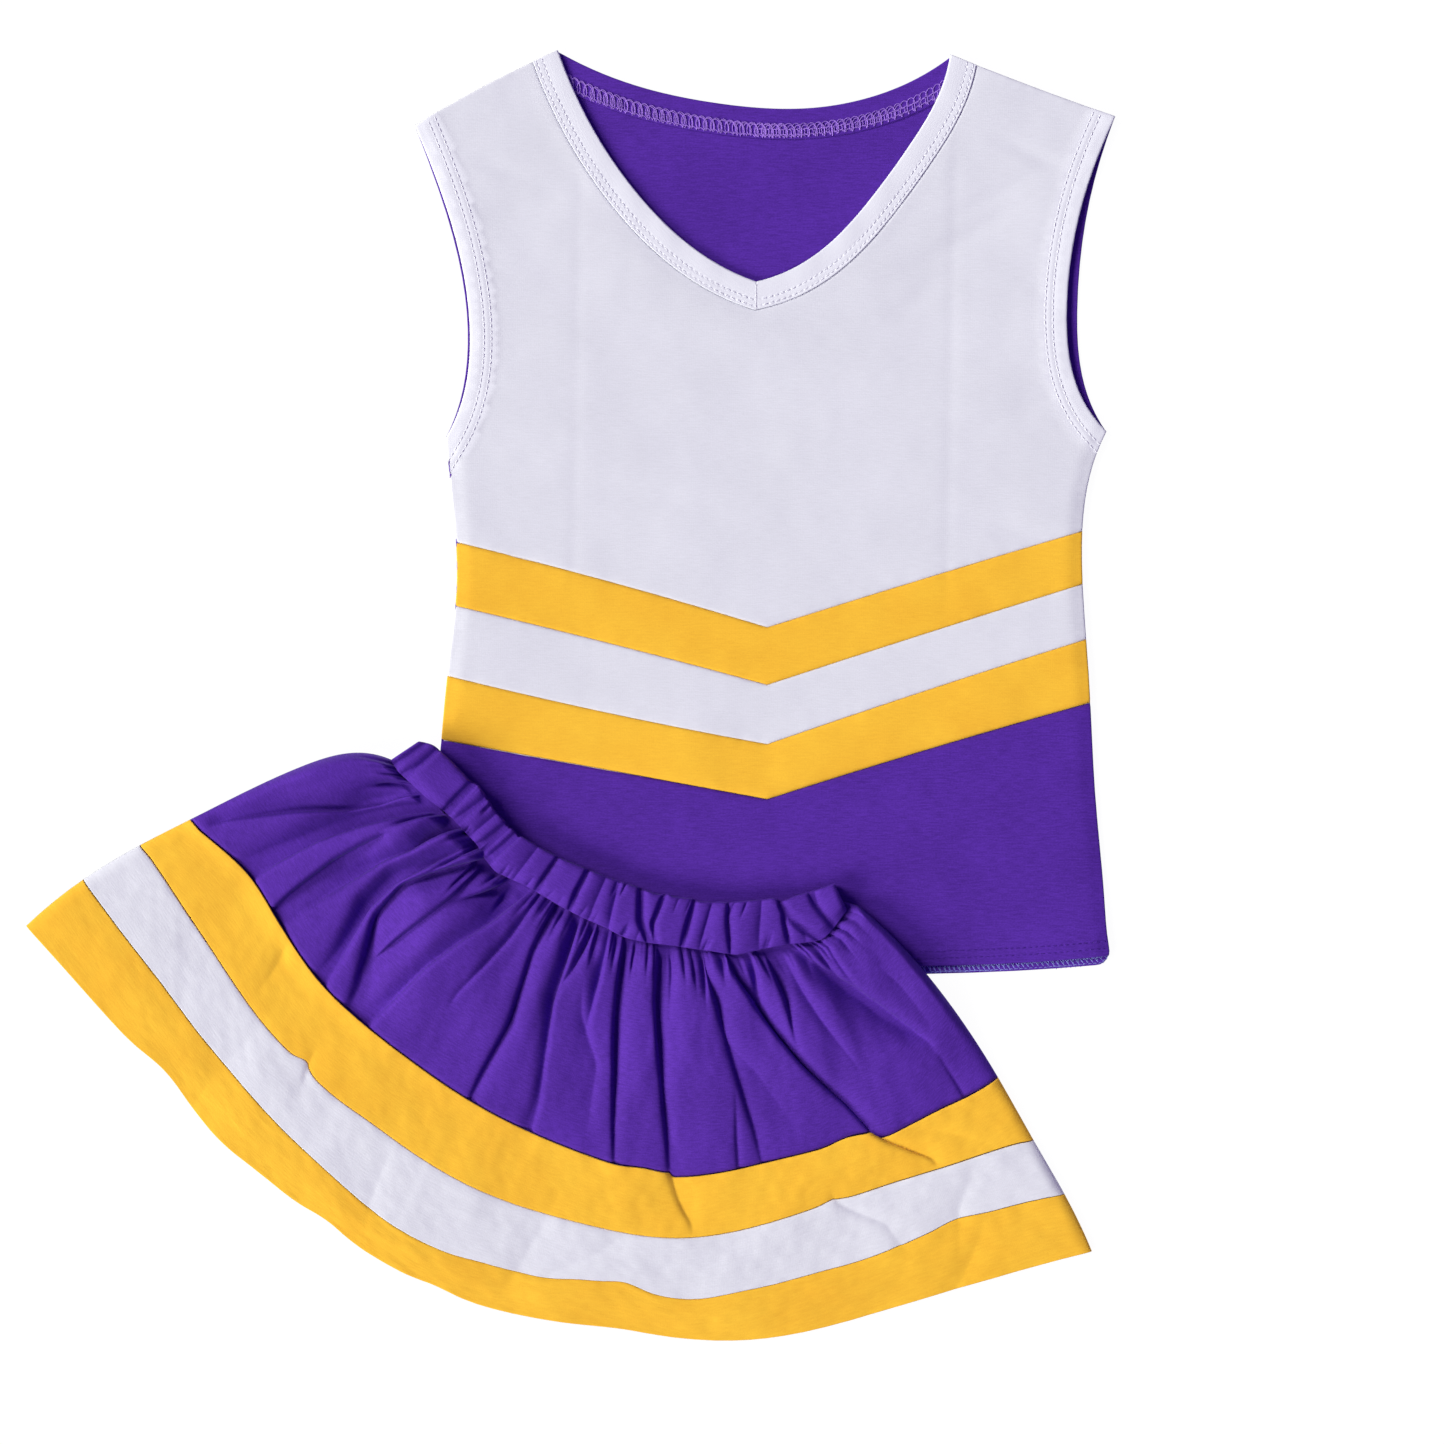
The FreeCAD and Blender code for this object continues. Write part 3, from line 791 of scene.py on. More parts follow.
def arm_sides(loop):
    """The neck edge and the yoke edge of a neckband arm, both from shoulder to mitre."""
    lines = sorted(sides_of(loop, most=4), key=lambda s: -length_of(s))[:2]
    yoke = closed(outlines("front_yoke")[0])
    lines.sort(key=lambda s: -distance(resample(s, 30), yoke).mean())
    return [downwards(line) for line in lines]


def sweep(first, second, along, across, height, girth):
    """The points, faces and weave of a closed section carried between two plan lines.

    across is each section point's share of the way from the first line to the second;
    height is (stations, section points); girth is the length round the section.
    """
    a, b = place_on(first, along), place_on(second, along)
    across = np.broadcast_to(across, height.shape)[..., None]
    plan = a[:, None] * (1 - across) + b[:, None] * across
    verts = np.concatenate([plan, height[..., None]], -1).reshape(-1, 3)
    stations, count = height.shape
    at = np.arange(len(verts)).reshape(stations, count)
    faces = hoops(at).tolist() + [at[0].tolist(), at[-1][::-1].tolist()]
    round_it = np.arange(count) / count * girth
    weave = np.column_stack([np.repeat(along * length_of(second), count),
                             np.tile(round_it, stations), np.zeros(len(verts))])
    return verts, faces, weave


def neckband(hand):
    """One arm of the neckband with its topstitching; returns the height of its face."""
    node = "neckband_" + hand
    low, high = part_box(node)
    inner, outer = arm_sides(outlines(node)[0])
    total = length_of(outer)
    along = np.concatenate([[0, 0.003], np.linspace(0.008, 0.992, int(total / (0.55 * MM))),
                            [0.997, 1]])
    fold = (high.z - low.z) / 2
    middle = (high.z + low.z) / 2
    top_at = np.concatenate([[1.0, 0.994, 0.982], np.linspace(0.965, 0.09, 44)])
    bend = np.linspace(90, 270, 11)
    bend_at = fold / NECKBAND_WIDTH * (1 + np.cos(np.radians(bend)))
    bend_z = fold * np.sin(np.radians(bend))
    back_at = np.linspace(0.08, 1.0, 12)
    inner_at = np.linspace(1.0, 0.075, 12)
    gap = fold - PLY
    across = np.concatenate([top_at, bend_at, back_at, inner_at, inner_at[::-1]])
    rounded = fold - BAND_EDGE_DROP * np.clip(1 - (1 - top_at) / BAND_EDGE, 0, 1) ** 2
    section = np.concatenate([rounded, bend_z, np.full(12, -fold), np.full(12, -gap),
                              np.full(12, gap)])
    s = along[:, None] * total + 0 * across
    height = middle + section + 0 * s
    upper = np.concatenate([np.ones(len(top_at)), np.linspace(1, 0, len(bend)), np.zeros(24),
                            np.ones(12)])
    height += upper * MM * (0.16 * noise(s, across * 0.01, 13 * MM, 21)
                            + 0.10 * np.sin(np.pi * np.clip(across / 0.6, 0, 1)))
    a, b = place_on(inner, along), place_on(outer, along)
    faceup = slice(0, len(top_at))
    plan = a[:, None] * (1 - top_at)[:, None] + b[:, None] * top_at[:, None]
    flat = plan.reshape(-1, 2)
    for row in neck_rows[hand]:
        away = distance(flat, row)
        close = np.flatnonzero(away < 1.6 * MM)
        marks = resample(row, 500)
        near = np.linalg.norm(flat[close, None] - marks[None], axis=2).argmin(1)
        phase = near / 499 * length_of(row) / STITCH_PITCH
        hole = (0.5 + 0.5 * np.cos(2 * np.pi * phase)) ** 6
        sunk = np.zeros(len(flat))
        sunk[close] = np.exp(-(away[close] / (0.42 * MM)) ** 2) * (0.05 + 0.24 * hole) * MM
        height[:, faceup] -= sunk.reshape(plan.shape[:2])
    if hand == "right":
        across, height = across[::-1], height[:, ::-1]
    made = piece(node + "_cloth", *sweep(inner, outer, along, across, height, BAND_GIRTH),
                 white_jersey, TOP, "white_jersey", [node], ply=1.0)
    lift = level(high.z + 0.02 * MM)
    paths = [path for row in neck_rows[hand] for path in dashes(row, lift, start=0.3 * MM)]
    node = "neck_topstitch_" + hand
    threads(node + "_thread", node, paths, 0.11 * MM, white_thread, "white_thread")
    return high.z


for hand in HANDS:
    neck_top = neckband(hand)

mitre = centre_line(outlines("neckband_mitre_stitch")[0], 40)
mitre_path = np.column_stack([mitre, np.full(len(mitre), neck_top - 0.05 * MM)])
threads("mitre_stitch_thread", "neckband_mitre_stitch", [mitre_path], 0.2 * MM, white_thread,
        "white_thread")


# Stitches of the armhole hems and of the front's bottom hem.


def over_front(plan):
    """Where a thread lies on the front's face."""
    return front_height(plan, np.full(len(plan), 5 * MM)) + CLOTH / 2 + 0.06 * MM


def over_back(plan):
    """Where a thread lies on the back's face."""
    return back_height(plan, None) + CLOTH / 2 + 0.1 * MM


def twin_rows(node, rows, lift, radius, material, slot):
    """The stitches of a hem's rows."""
    paths = [path for row in rows for path in dashes(row, lift)]
    threads(node + "_thread", node, paths, radius, material, slot)


for hand in HANDS:
    twin_rows("armhole_stitch_front_" + hand, armhole_rows[hand], over_front, 0.15 * MM,
              white_thread, "white_thread")
    node = "armhole_stitch_back_" + hand
    twin_rows(node, rows_of(node), over_back, 0.15 * MM, lilac_thread, "purple_thread")
twin_rows("hem_stitch_front", hem_rows, over_front, 0.11 * MM, purple_jersey, "purple_thread")


# The back neck's binding and its looped coverstitch.


def binding_height(plan, inside):
    """The middle height of the binding's tape."""
    x, y = plan.T
    return 1.45 * MM + 0.06 * MM * noise(x, y, 8 * MM, 31)


binding_loop = outlines("back_neck_binding")[0]
binding = panel("back_neck_binding_cloth", binding_loop, binding_height, purple_jersey,
                "purple_jersey", ["back_neck_binding"], thick=0.7 * MM, step=2.4 * MM)
lay_sheet(binding_loop)


# The radius of a looper thread.
LOOP_THREAD = 0.20 * MM


def loops(node, top, material, pitch, patterns, seed):
    """Looper threads along a strip node.

    Each pattern has the part of the strip that it covers, its shift, its middle and swing
    across the strip, and the two amplitudes that bend its sine into hooks.
    """
    upper, lower = ribbon(outlines(node)[0], 500)
    total = length_of((upper + lower) / 2)
    paths = []
    for number, (start, end, shift, centre, swing, hook, lean) in enumerate(patterns):
        turns = total * (end - start) / pitch
        at = np.linspace(0, turns, int(turns * 16))
        phase = 2 * np.pi * (at + shift)
        wobble = noise(at * MM, at * 0, 1.3 * MM, seed + number)
        along = at + hook * np.sin(2 * phase) + lean * np.sin(phase) + 0.10 * wobble
        share = np.clip(start + (end - start) * along / turns, 0.002, 0.998)
        cross = centre - swing * np.cos(phase) * (1 + 0.10 * wobble) + 0.03 * wobble
        a, b = place_on(upper, share), place_on(lower, share)
        plan = a * (1 - cross)[:, None] + b * cross[:, None]
        height = top + LOOP_THREAD * (0.8 + 0.6 * np.sin(phase + 0.9 + number))
        paths.append(np.column_stack([plan, height]))
    threads(node + "_thread", node, paths, LOOP_THREAD, material, "purple_thread")


NECK_LOOPS = (
    (0.0, 0.56, 0.00, 0.50, 0.44, 0.02, 0.46), (0.0, 0.56, 0.13, 0.50, 0.36, 0.02, 0.46),
    (0.0, 0.60, 0.30, 0.90, 0.08, 0.00, 0.20), (0.54, 1.0, 0.00, 0.24, 0.20, 0.00, 0.30),
    (0.50, 1.0, 0.50, 0.62, 0.20, 0.12, 0.10), (0.50, 1.0, 0.25, 0.84, 0.10, 0.00, 0.24),
    (0.44, 0.80, 0.10, 0.56, 0.40, 0.05, 0.30), (0.50, 1.0, 0.00, 0.45, 0.03, 0.00, 0.00),
)
loops("back_neck_coverstitch", 1.85 * MM, lilac_thread, 3.3 * MM, NECK_LOOPS, 5)
HEM_LOOPS = (
    (0.0, 1.0, 0.00, 0.60, 0.42, 0.00, 0.14), (0.0, 1.0, 0.25, 0.93, 0.06, 0.00, 0.20),
    (0.0, 1.0, 0.60, 0.40, 0.08, 0.00, 0.20),
)
loops("hem_loops_back", 1.5 * MM, blue_thread, 2.2 * MM, HEM_LOOPS, 8)


# ---------------------------------------------------------------------------
# The skirt's pieces as grids: u runs left to right, w from the waist to the hem.

SEAM_AT = {"body": (0.0, 1.0), "gold": (1.0, 1.5), "white": (1.5, 2.0), "hem": (2.0, 2.6)}


def skirt_sides(part, upper, lower=None):
    """The top, left, bottom and right edges of a skirt piece, left-right and downwards."""
    loop = outlines("skirt_%s_back" % part, -1)[0]
    neighbours = [outlines(n, -1)[0] for n in (upper, lower) if n]
    found = runs(loop, neighbours)
    first = max((i for i, r in enumerate(found) if r[0] == 0),
                key=lambda i: length_of(found[i][1]))
    found = found[first:] + found[:first]
    top = found[0][1][::-1]
    rest = [line for label, line in found[1:]]
    if not lower:
        chain = np.vstack(rest)
        cut = corner_pair(chain)
        rest = [chain[:cut[0] + 1], chain[cut[0]:cut[1] + 1], chain[cut[1]:]]
    left, bottom, right = rest[0], rest[1], rest[2][::-1]
    return top, left, bottom, right


def corner_pair(chain, ahead=8):
    """The two sharpest corners of an open line, in order."""
    before = chain[ahead:-ahead] - chain[:-2 * ahead]
    after = chain[2 * ahead:] - chain[ahead:-ahead]
    cross = before[:, 0] * after[:, 1] - before[:, 1] * after[:, 0]
    angle = np.abs(np.arctan2(cross, (before * after).sum(1)))
    first = int(angle.argmax())
    angle[max(0, first - 60):first + 60] = 0
    return sorted((first + ahead, int(angle.argmax()) + ahead))


# How quickly the pull of a skirt piece's left and right edges fades away from them.
GRIP = 3


def patch(sides, us, vs):
    """Plan points (rows, columns) between four edges."""
    top, left, bottom, right = sides
    t, b = place_on(top, us), place_on(bottom, us)
    lines = t[None] * (1 - vs)[:, None, None] + b[None] * vs[:, None, None]
    flank_left, flank_right = place_on(left, vs), place_on(right, vs)
    move_left = flank_left - lines[:, 0]
    move_right = flank_right - lines[:, -1]
    return (lines + move_left[:, None] * ((1 - us) ** GRIP)[None, :, None]
            + move_right[:, None] * (us ** GRIP)[None, :, None])


# Creases of the gathered front: depth (mm), half width of the left and right banks (mm),
# slip of the two banks along the crease (mm), then the (u, w, strength) it runs through.
# The steeper bank overhangs the valley.
CREASES = (
    (6.5, 7.5, 1.2, 0.0, ((.088, .08, .6), (.089, .25, 1), (.079, .40, .7), (.048, .60, .8),
                          (.018, .88, .4))),
    (10.0, 6.5, 1.2, 0.3, ((.122, .00, .8), (.118, .12, 1), (.112, .25, 1.1), (.101, .40, 1.1),
                          (.090, .60, .9), (.085, .85, .9), (.087, 1.03, .6))),
    (7.5, 3.6, 1.4, 0.0, ((.163, .00, 1.1), (.166, .12, 1.1), (.170, .25, .8), (.160, .40, .6),
                          (.152, .60, .8), (.148, .88, .2))),
    (7.0, 1.2, 6.0, 0.0, ((.137, .36, .3), (.131, .60, .9), (.130, .85, 1), (.132, 1.02, .8))),
    (9.0, 4.0, 1.5, 0.2, ((.210, .06, .3), (.201, .25, 1), (.190, .40, 1.3), (.192, .60, 1),
                          (.212, .85, .7), (.221, 1.02, .6))),
    (8.0, 2.6, 4.0, 0.0, ((.262, .03, .6), (.246, .12, .8), (.228, .25, 1), (.210, .40, .8),
                          (.214, .60, .6), (.252, .85, .9), (.262, 1.00, .5))),
    (5.5, 1.2, 6.0, 0.0, ((.268, .06, .8), (.270, .25, .5), (.262, .40, .4), (.252, .60, .7),
                          (.243, .80, .3))),
    (6.5, 6.0, 1.1, 0.2, ((.347, .04, .8), (.330, .25, .7), (.312, .40, .6), (.295, .60, .6),
                          (.286, .85, .8), (.281, 1.02, .7))),
    (6.0, 1.8, 7.0, 0.0, ((.318, .01, .8), (.309, .12, 1), (.294, .19, .6), (.276, .27, .1))),
    (4.0, 1.5, 1.5, 0.0, ((.371, .03, .5), (.368, .25, .8), (.360, .40, .6), (.347, .62, .2))),
    (5.5, 1.2, 2.2, 0.0, ((.410, .00, .8), (.410, .12, .9), (.410, .25, .5), (.417, .40, .6),
                          (.424, .60, 1), (.418, .85, .9), (.417, 1.03, .6))),
    (7.0, 2.6, 1.1, 0.0, ((.450, .00, 1), (.454, .12, 1.2), (.458, .25, .9), (.459, .40, .9),
                          (.472, .60, .6), (.485, .85, .6), (.486, 1.02, .5))),
    (5.5, 1.5, 1.5, 0.0, ((.482, .00, .9), (.479, .12, 1), (.473, .25, .6), (.463, .36, .2))),
    (6.0, 3.0, 1.0, 0.0, ((.513, .01, .4), (.515, .12, .6), (.515, .25, .9), (.517, .42, .3))),
    (2.6, 9.0, 3.0, 0.0, ((.495, .28, .2), (.505, .42, .9), (.540, .60, 1), (.545, .86, .3))),
    (5.5, 1.2, 4.0, 0.2, ((.549, .00, .8), (.551, .12, 1), (.553, .25, 1), (.557, .40, .9),
                          (.566, .60, .9), (.575, .85, .6), (.582, 1.02, .3))),
    (5.5, 1.4, 5.0, 1.2, ((.613, .00, .9), (.614, .12, .9), (.613, .25, 1.1), (.618, .40, 1.1),
                          (.626, .60, .7), (.636, .85, .8), (.642, 1.0, .8), (.652, 1.2, .7),
                          (.666, 1.40, .2))),
    (4.0, 2.0, 2.4, 0.0, ((.630, .00, .8), (.635, .12, .8), (.631, .27, .2))),
    (5.0, 1.8, 4.0, 0.0, ((.690, .00, .6), (.692, .12, .7), (.705, .25, 1), (.709, .40, .6),
                          (.720, .60, .6), (.733, .85, .5), (.738, 1.02, .3))),
    (7.0, 1.3, 4.2, 2.2, ((.735, .00, 1), (.738, .12, 1.1), (.757, .25, 1.2), (.774, .40, 1),
                          (.801, .60, 1), (.840, .85, 1), (.858, 1.0, 1), (.872, 1.12, .9),
                          (.889, 1.26, .7), (.906, 1.40, .2))),
    (6.0, 1.3, 1.3, 0.0, ((.766, .01, .9), (.766, .12, 1), (.759, .26, .4))),
    (6.0, 1.2, 3.0, 0.0, ((.803, .00, .8), (.803, .12, 1), (.806, .25, .7), (.800, .44, .2))),
    (6.0, 4.0, 2.4, 0.0, ((.822, .04, .4), (.828, .25, .7), (.838, .40, .5), (.862, .66, .1))),
    (8.5, 8.0, 2.2, 0.0, ((.842, .04, .6), (.872, .18, .8), (.892, .27, .9), (.912, .40, .9),
                          (.936, .60, .9), (.952, .70, .2))),
    (4.0, 1.2, 1.2, 0.0, ((.862, .01, .7), (.866, .14, .6), (.874, .20, .1))),
    (4.0, 2.5, 1.0, 0.0, ((.906, .02, .5), (.900, .12, .6), (.902, .29, .5), (.910, .36, .1))),
    (2.5, 1.2, 3.0, 0.5, ((.955, .80, .3), (.958, .92, .7), (.960, 1.02, .6))),
    (2.5, 1.0, 2.0, 0.0, ((.714, .70, .2), (.712, .85, .8), (.712, 1.01, .7))),
    (2.6, 6.0, 3.0, 0.0, ((.950, .30, .2), (.957, .40, .8), (.962, .60, .2))),
    (2.4, 8.0, 7.0, 0.0, ((.158, .30, .3), (.152, .50, 1), (.160, .78, .4))),
    (2.2, 7.0, 6.0, 0.0, ((.236, .42, .3), (.238, .62, 1), (.246, .86, .4))),
    (2.0, 9.0, 5.0, 0.0, ((.700, .40, .3), (.742, .60, 1), (.775, .86, .3))),
    (1.6, 4.0, 5.0, 0.0, ((.165, 1.04, .2), (.172, 1.12, .9), (.178, 1.35, .2))),
    (1.2, 2.0, 5.0, 0.6, ((.258, 1.38, .1), (.262, 1.50, 1), (.268, 1.64, .1))),
    (1.0, 8.0, 4.0, 0.0, ((.368, 1.40, .2), (.372, 1.90, 1), (.380, 2.40, .2))),
    (1.4, 8.0, 9.0, 0.0, ((.535, 1.30, .2), (.520, 1.80, 1), (.500, 2.50, .3))),
    (1.5, 9.0, 6.0, 0.0, ((.612, 1.40, .2), (.580, 1.75, 1), (.540, 1.98, .6))),
    (1.0, 9.0, 9.0, 0.0, ((.205, 1.50, .2), (.198, 2.10, 1), (.202, 2.60, .9))),
    (1.4, 3.0, 6.0, 0.4, ((.803, 1.40, .2), (.806, 1.52, 1), (.845, 1.80, .8), (.860, 2.2, .1))),
    (1.6, 7.0, 4.0, 0.0, ((.892, 1.00, .3), (.935, 1.25, .9), (.962, 1.45, .3))),
    (1.2, 5.0, 4.0, 0.0, ((.935, 1.60, .2), (.910, 1.90, .9), (.895, 2.30, .3))),
    (1.2, 6.0, 6.0, 0.0, ((.925, 2.10, .3), (.905, 2.35, 1), (.885, 2.60, .9))),
)
# Waist gathers too small to run far: u, depth and reach.
SHORT_GATHERS = (
    (.020, 3, .12), (.048, 3, .10), (.066, 2, .08), (.079, 4, .16), (.100, 2, .07), (.129, 5, .18),
    (.190, 2, .06), (.219, 5, .16), (.259, 4, .17), (.288, 3, .08), (.328, 4, .12), (.359, 3, .10),
    (.392, 2.5, .08), (.427, 2.5, .10), (.467, 3, .09), (.497, 3, .12), (.531, 3, .10),
    (.570, 3, .12), (.592, 2.5, .10), (.652, 3, .10), (.668, 3, .12), (.683, 4, .16),
    (.712, 4, .10), (.722, 3, .08), (.750, 4, .09), (.785, 4, .09), (.815, 4, .10), (.850, 4, .09),
    (.877, 4.5, .18), (.888, 3, .08), (.925, 3, .10), (.945, 2.5, .09), (.968, 2, .07),
)


def short_gathers():
    """The named gathers and a fringe of smaller ones, as creases."""
    wander = np.random.default_rng(41)
    found = []
    for u, depth, reach in SHORT_GATHERS:
        lean = (u - 0.5) * 0.10 + wander.normal(0, 0.02)
        found.append((depth, wander.uniform(0.9, 2.2), wander.uniform(0.9, 2.2), 0.0,
                      ((u, -0.03, 1.0), (u + lean * reach, reach, 0.9),
                       (u + lean * reach * 1.4, reach * 1.5, 0.1))))
    for number in range(64):
        u = (number + wander.uniform(0.1, 0.9)) / 64
        reach = wander.uniform(0.04, 0.12)
        deep = wander.uniform(0.8, 2.0) * (1 - 0.6 * smooth((u - 0.84) / 0.06))
        found.append((deep, wander.uniform(0.8, 1.8), wander.uniform(0.8, 1.8), 0.0,
                      ((u, -0.03, 1.0), (u + (u - 0.5) * 0.1 * reach, reach, 0.5))))
    return tuple(found)


# How far a crease's steep bank leans over it, as a share of its depth, and over what
# distance (mm).
TUCK = 0.21
TUCK_WIDTH = 1.5
# A crease that ends above this w is held flat by the first band's seam.
BELOW_SEAM = 1.1
# How far the cloth dips into the seams above and below it (mm), and over what distance.
SKIRT_SEAM_DIPS = {"body": (0.0, 2.0), "gold": (0.25, 0.12), "white": (0.35, 0.0),
                   "hem": (0.06, 0.0)}
SKIRT_DIP_REACH = 0.6 * MM


def eased_run(pw, ws, values):
    """The values at ws, drawn along w as a smooth curve."""
    grid = np.linspace(ws[0] - 0.1, ws[-1] + 0.1, 161)
    count = 2 * int(0.05 / (grid[1] - grid[0])) + 3
    kernel = np.hanning(count + 2)[1:-1]
    drawn = np.pad(np.interp(grid, ws, values), count // 2, mode="edge")
    return np.interp(pw, grid, np.convolve(drawn, kernel / kernel.sum(), "valid"))


def fold_field(u, w, width, creases, held):
    """Height, sideways shift and slip in metres at each (u, w), for the cloth's width."""
    height, shift, slip_by = np.zeros(u.shape), np.zeros(u.shape), np.zeros(u.shape)
    for depth, left, right, slip, line in creases:
        us, ws, power = np.array(line).T
        near = np.flatnonzero((w[:, 0] > ws[0] - 0.08) & (w[:, 0] < ws[-1] + 0.12))
        if not len(near) or (held and ws[-1] < BELOW_SEAM):
            continue
        part = slice(near[0], near[-1] + 1)
        pw = w[part]
        fade_in = smooth((pw - ws[0]) / 0.07 + 1.0) if ws[0] > 0.02 else 1.0
        fade_out = smooth((ws[-1] - pw) / 0.10 + 1.0)
        strong = eased_run(pw, ws, power) * fade_in * fade_out
        off = (u[part] - eased_run(pw, ws, us)) * width[part] / MM
        bank = np.where(off < 0, -off / left, off / right)
        height[part] -= depth * MM * strong * np.exp(-bank ** 1.15)
        way = -1 if left < right else 1
        near_by = np.exp(-np.abs(off) / TUCK_WIDTH)
        shift[part] += way * TUCK * depth * MM * strong * near_by
        if slip and ws[-1] > BELOW_SEAM:
            slip_by[part] += slip * MM * strong * np.tanh(off / 0.7) * np.exp(-np.abs(off) / 14)
    return height, shift, slip_by


# How far beyond the top's edge the skirt comes down to the table.
SUPPORT_REACH = 34 * MM


def support(plan):
    """How high the skirt is held by the top that lies under it."""
    over = np.maximum(np.array([top_low.x, top_low.y]) - plan, 0)
    return TOP_STACK * (1 - smooth(np.hypot(over[..., 0], over[..., 1]) / SUPPORT_REACH))


FOLDS = CREASES + short_gathers()
# Where the band seams wander: (seam's w, u, shift towards the hem in mm, half width in u).
SEAM_WAVES = (
    (1.0, .090, -1.2, .035), (1.0, .020, 1.0, .03), (1.0, .200, .7, .05), (1.0, .612, -1.4, .020),
    (1.0, .830, -1.8, .020), (1.0, .872, .5, .015), (1.0, .930, -1.0, .03),
    (1.5, .070, .8, .05), (1.5, .258, -2.2, .010), (1.5, .300, 1.0, .03), (1.5, .560, -.6, .05),
    (1.5, .805, -1.2, .012), (1.5, .920, .6, .04), (1.5, .500, -1.0, .80),
    (2.0, .110, -.8, .04), (2.0, .275, .4, .04), (2.0, .390, 1.4, .05), (2.0, .480, -.8, .02),
    (2.0, .540, 1.7, .025), (2.0, .608, -2.4, .018), (2.0, .705, -1.2, .03),
    (2.0, .825, 2.0, .045), (2.0, .905, -1.6, .02),
    (2.6, .165, -3.0, .030), (2.6, .238, 1.4, .030), (2.6, .345, -1.8, .022),
    (2.6, .450, -1.2, .020), (2.6, .605, -0.9, .030),
)


def seam_wave(u, w):
    """How far the cloth moves towards the hem where its seams wander."""
    moved = np.zeros(u.shape)
    for seam, centre, by, wide in SEAM_WAVES:
        moved += (by * MM * np.exp(-((u - centre) / wide) ** 2)
                  * np.clip(1 - np.abs(w - seam) / 0.45, 0, 1) ** 2)
    return moved


# How far each edge wanders, as a share of the waistband's width, at u.
TOP_WANDER = ((0, -.16), (.010, -.05), (.028, .02), (.135, .02), (.148, .11), (.165, .10),
              (.19, .07), (.21, .02), (.285, 0), (.33, .04), (.44, .03), (.50, 0), (.58, 0),
              (.622, -.03), (.635, .05), (.648, 0), (.69, .03), (.705, -.01), (.78, 0),
              (.865, 0), (.885, -.10), (.92, -.03), (1, 0))
FOOT_WANDER = ((0, 0), (.03, .09), (.10, .02), (.17, -.13), (.24, -.14), (.28, .02), (.31, .10),
               (.37, 0), (.45, 0), (.55, -.06), (.60, -.02), (.70, -.06), (.78, .02),
               (.83, .10), (.88, 0), (.91, -.03), (.97, .02), (1, 0))
BAND_WIDTH = 22 * MM


def wandered(us, points):
    """An edge's wandering at us, with its turns softened."""
    at, by = np.array(points).T
    grid = np.linspace(-0.01, 1.01, 409)
    fine = np.convolve(np.interp(grid, at, by), np.full(5, 0.2), "same")
    return np.interp(us, grid, fine)


# How far the back's sides lie inside the front's, as a share of the width.
BACK_INSET = 0.0015
# How far below the front's seams the back's lie, so that no gap goes through both.
BACK_DROP = 2.0 * MM
# The front's middle stays above this, clear of the back.
LOWEST_MID = 1.7 * MM
# How far the gathered cloth runs up under the waistband's foot.
UNDER_FOOT = 0.8 * MM
# How high the gathered cloth puffs up below the waist, and how much more at the left.
PUFF = 5.6
PUFF_LEFT = 6.0
# The lowest that folds may sink, and the height above it where they start to level out.
FOLD_FLOOR = -1.25 * MM
FOLD_SOFT = 0.8 * MM
# The front's middle height at its edges, where it meets the back.
EDGE_MID = 1.7 * MM


def spans(plan, axis):
    """How long each of a grid's lines is along an axis."""
    return np.linalg.norm(np.diff(plan, axis=axis), axis=2).sum(axis, keepdims=True)


def along_axis(plan, axis):
    """The plan direction in which a grid's columns (axis 1) or rows (axis 0) go on."""
    return unit(np.gradient(plan, axis=axis))


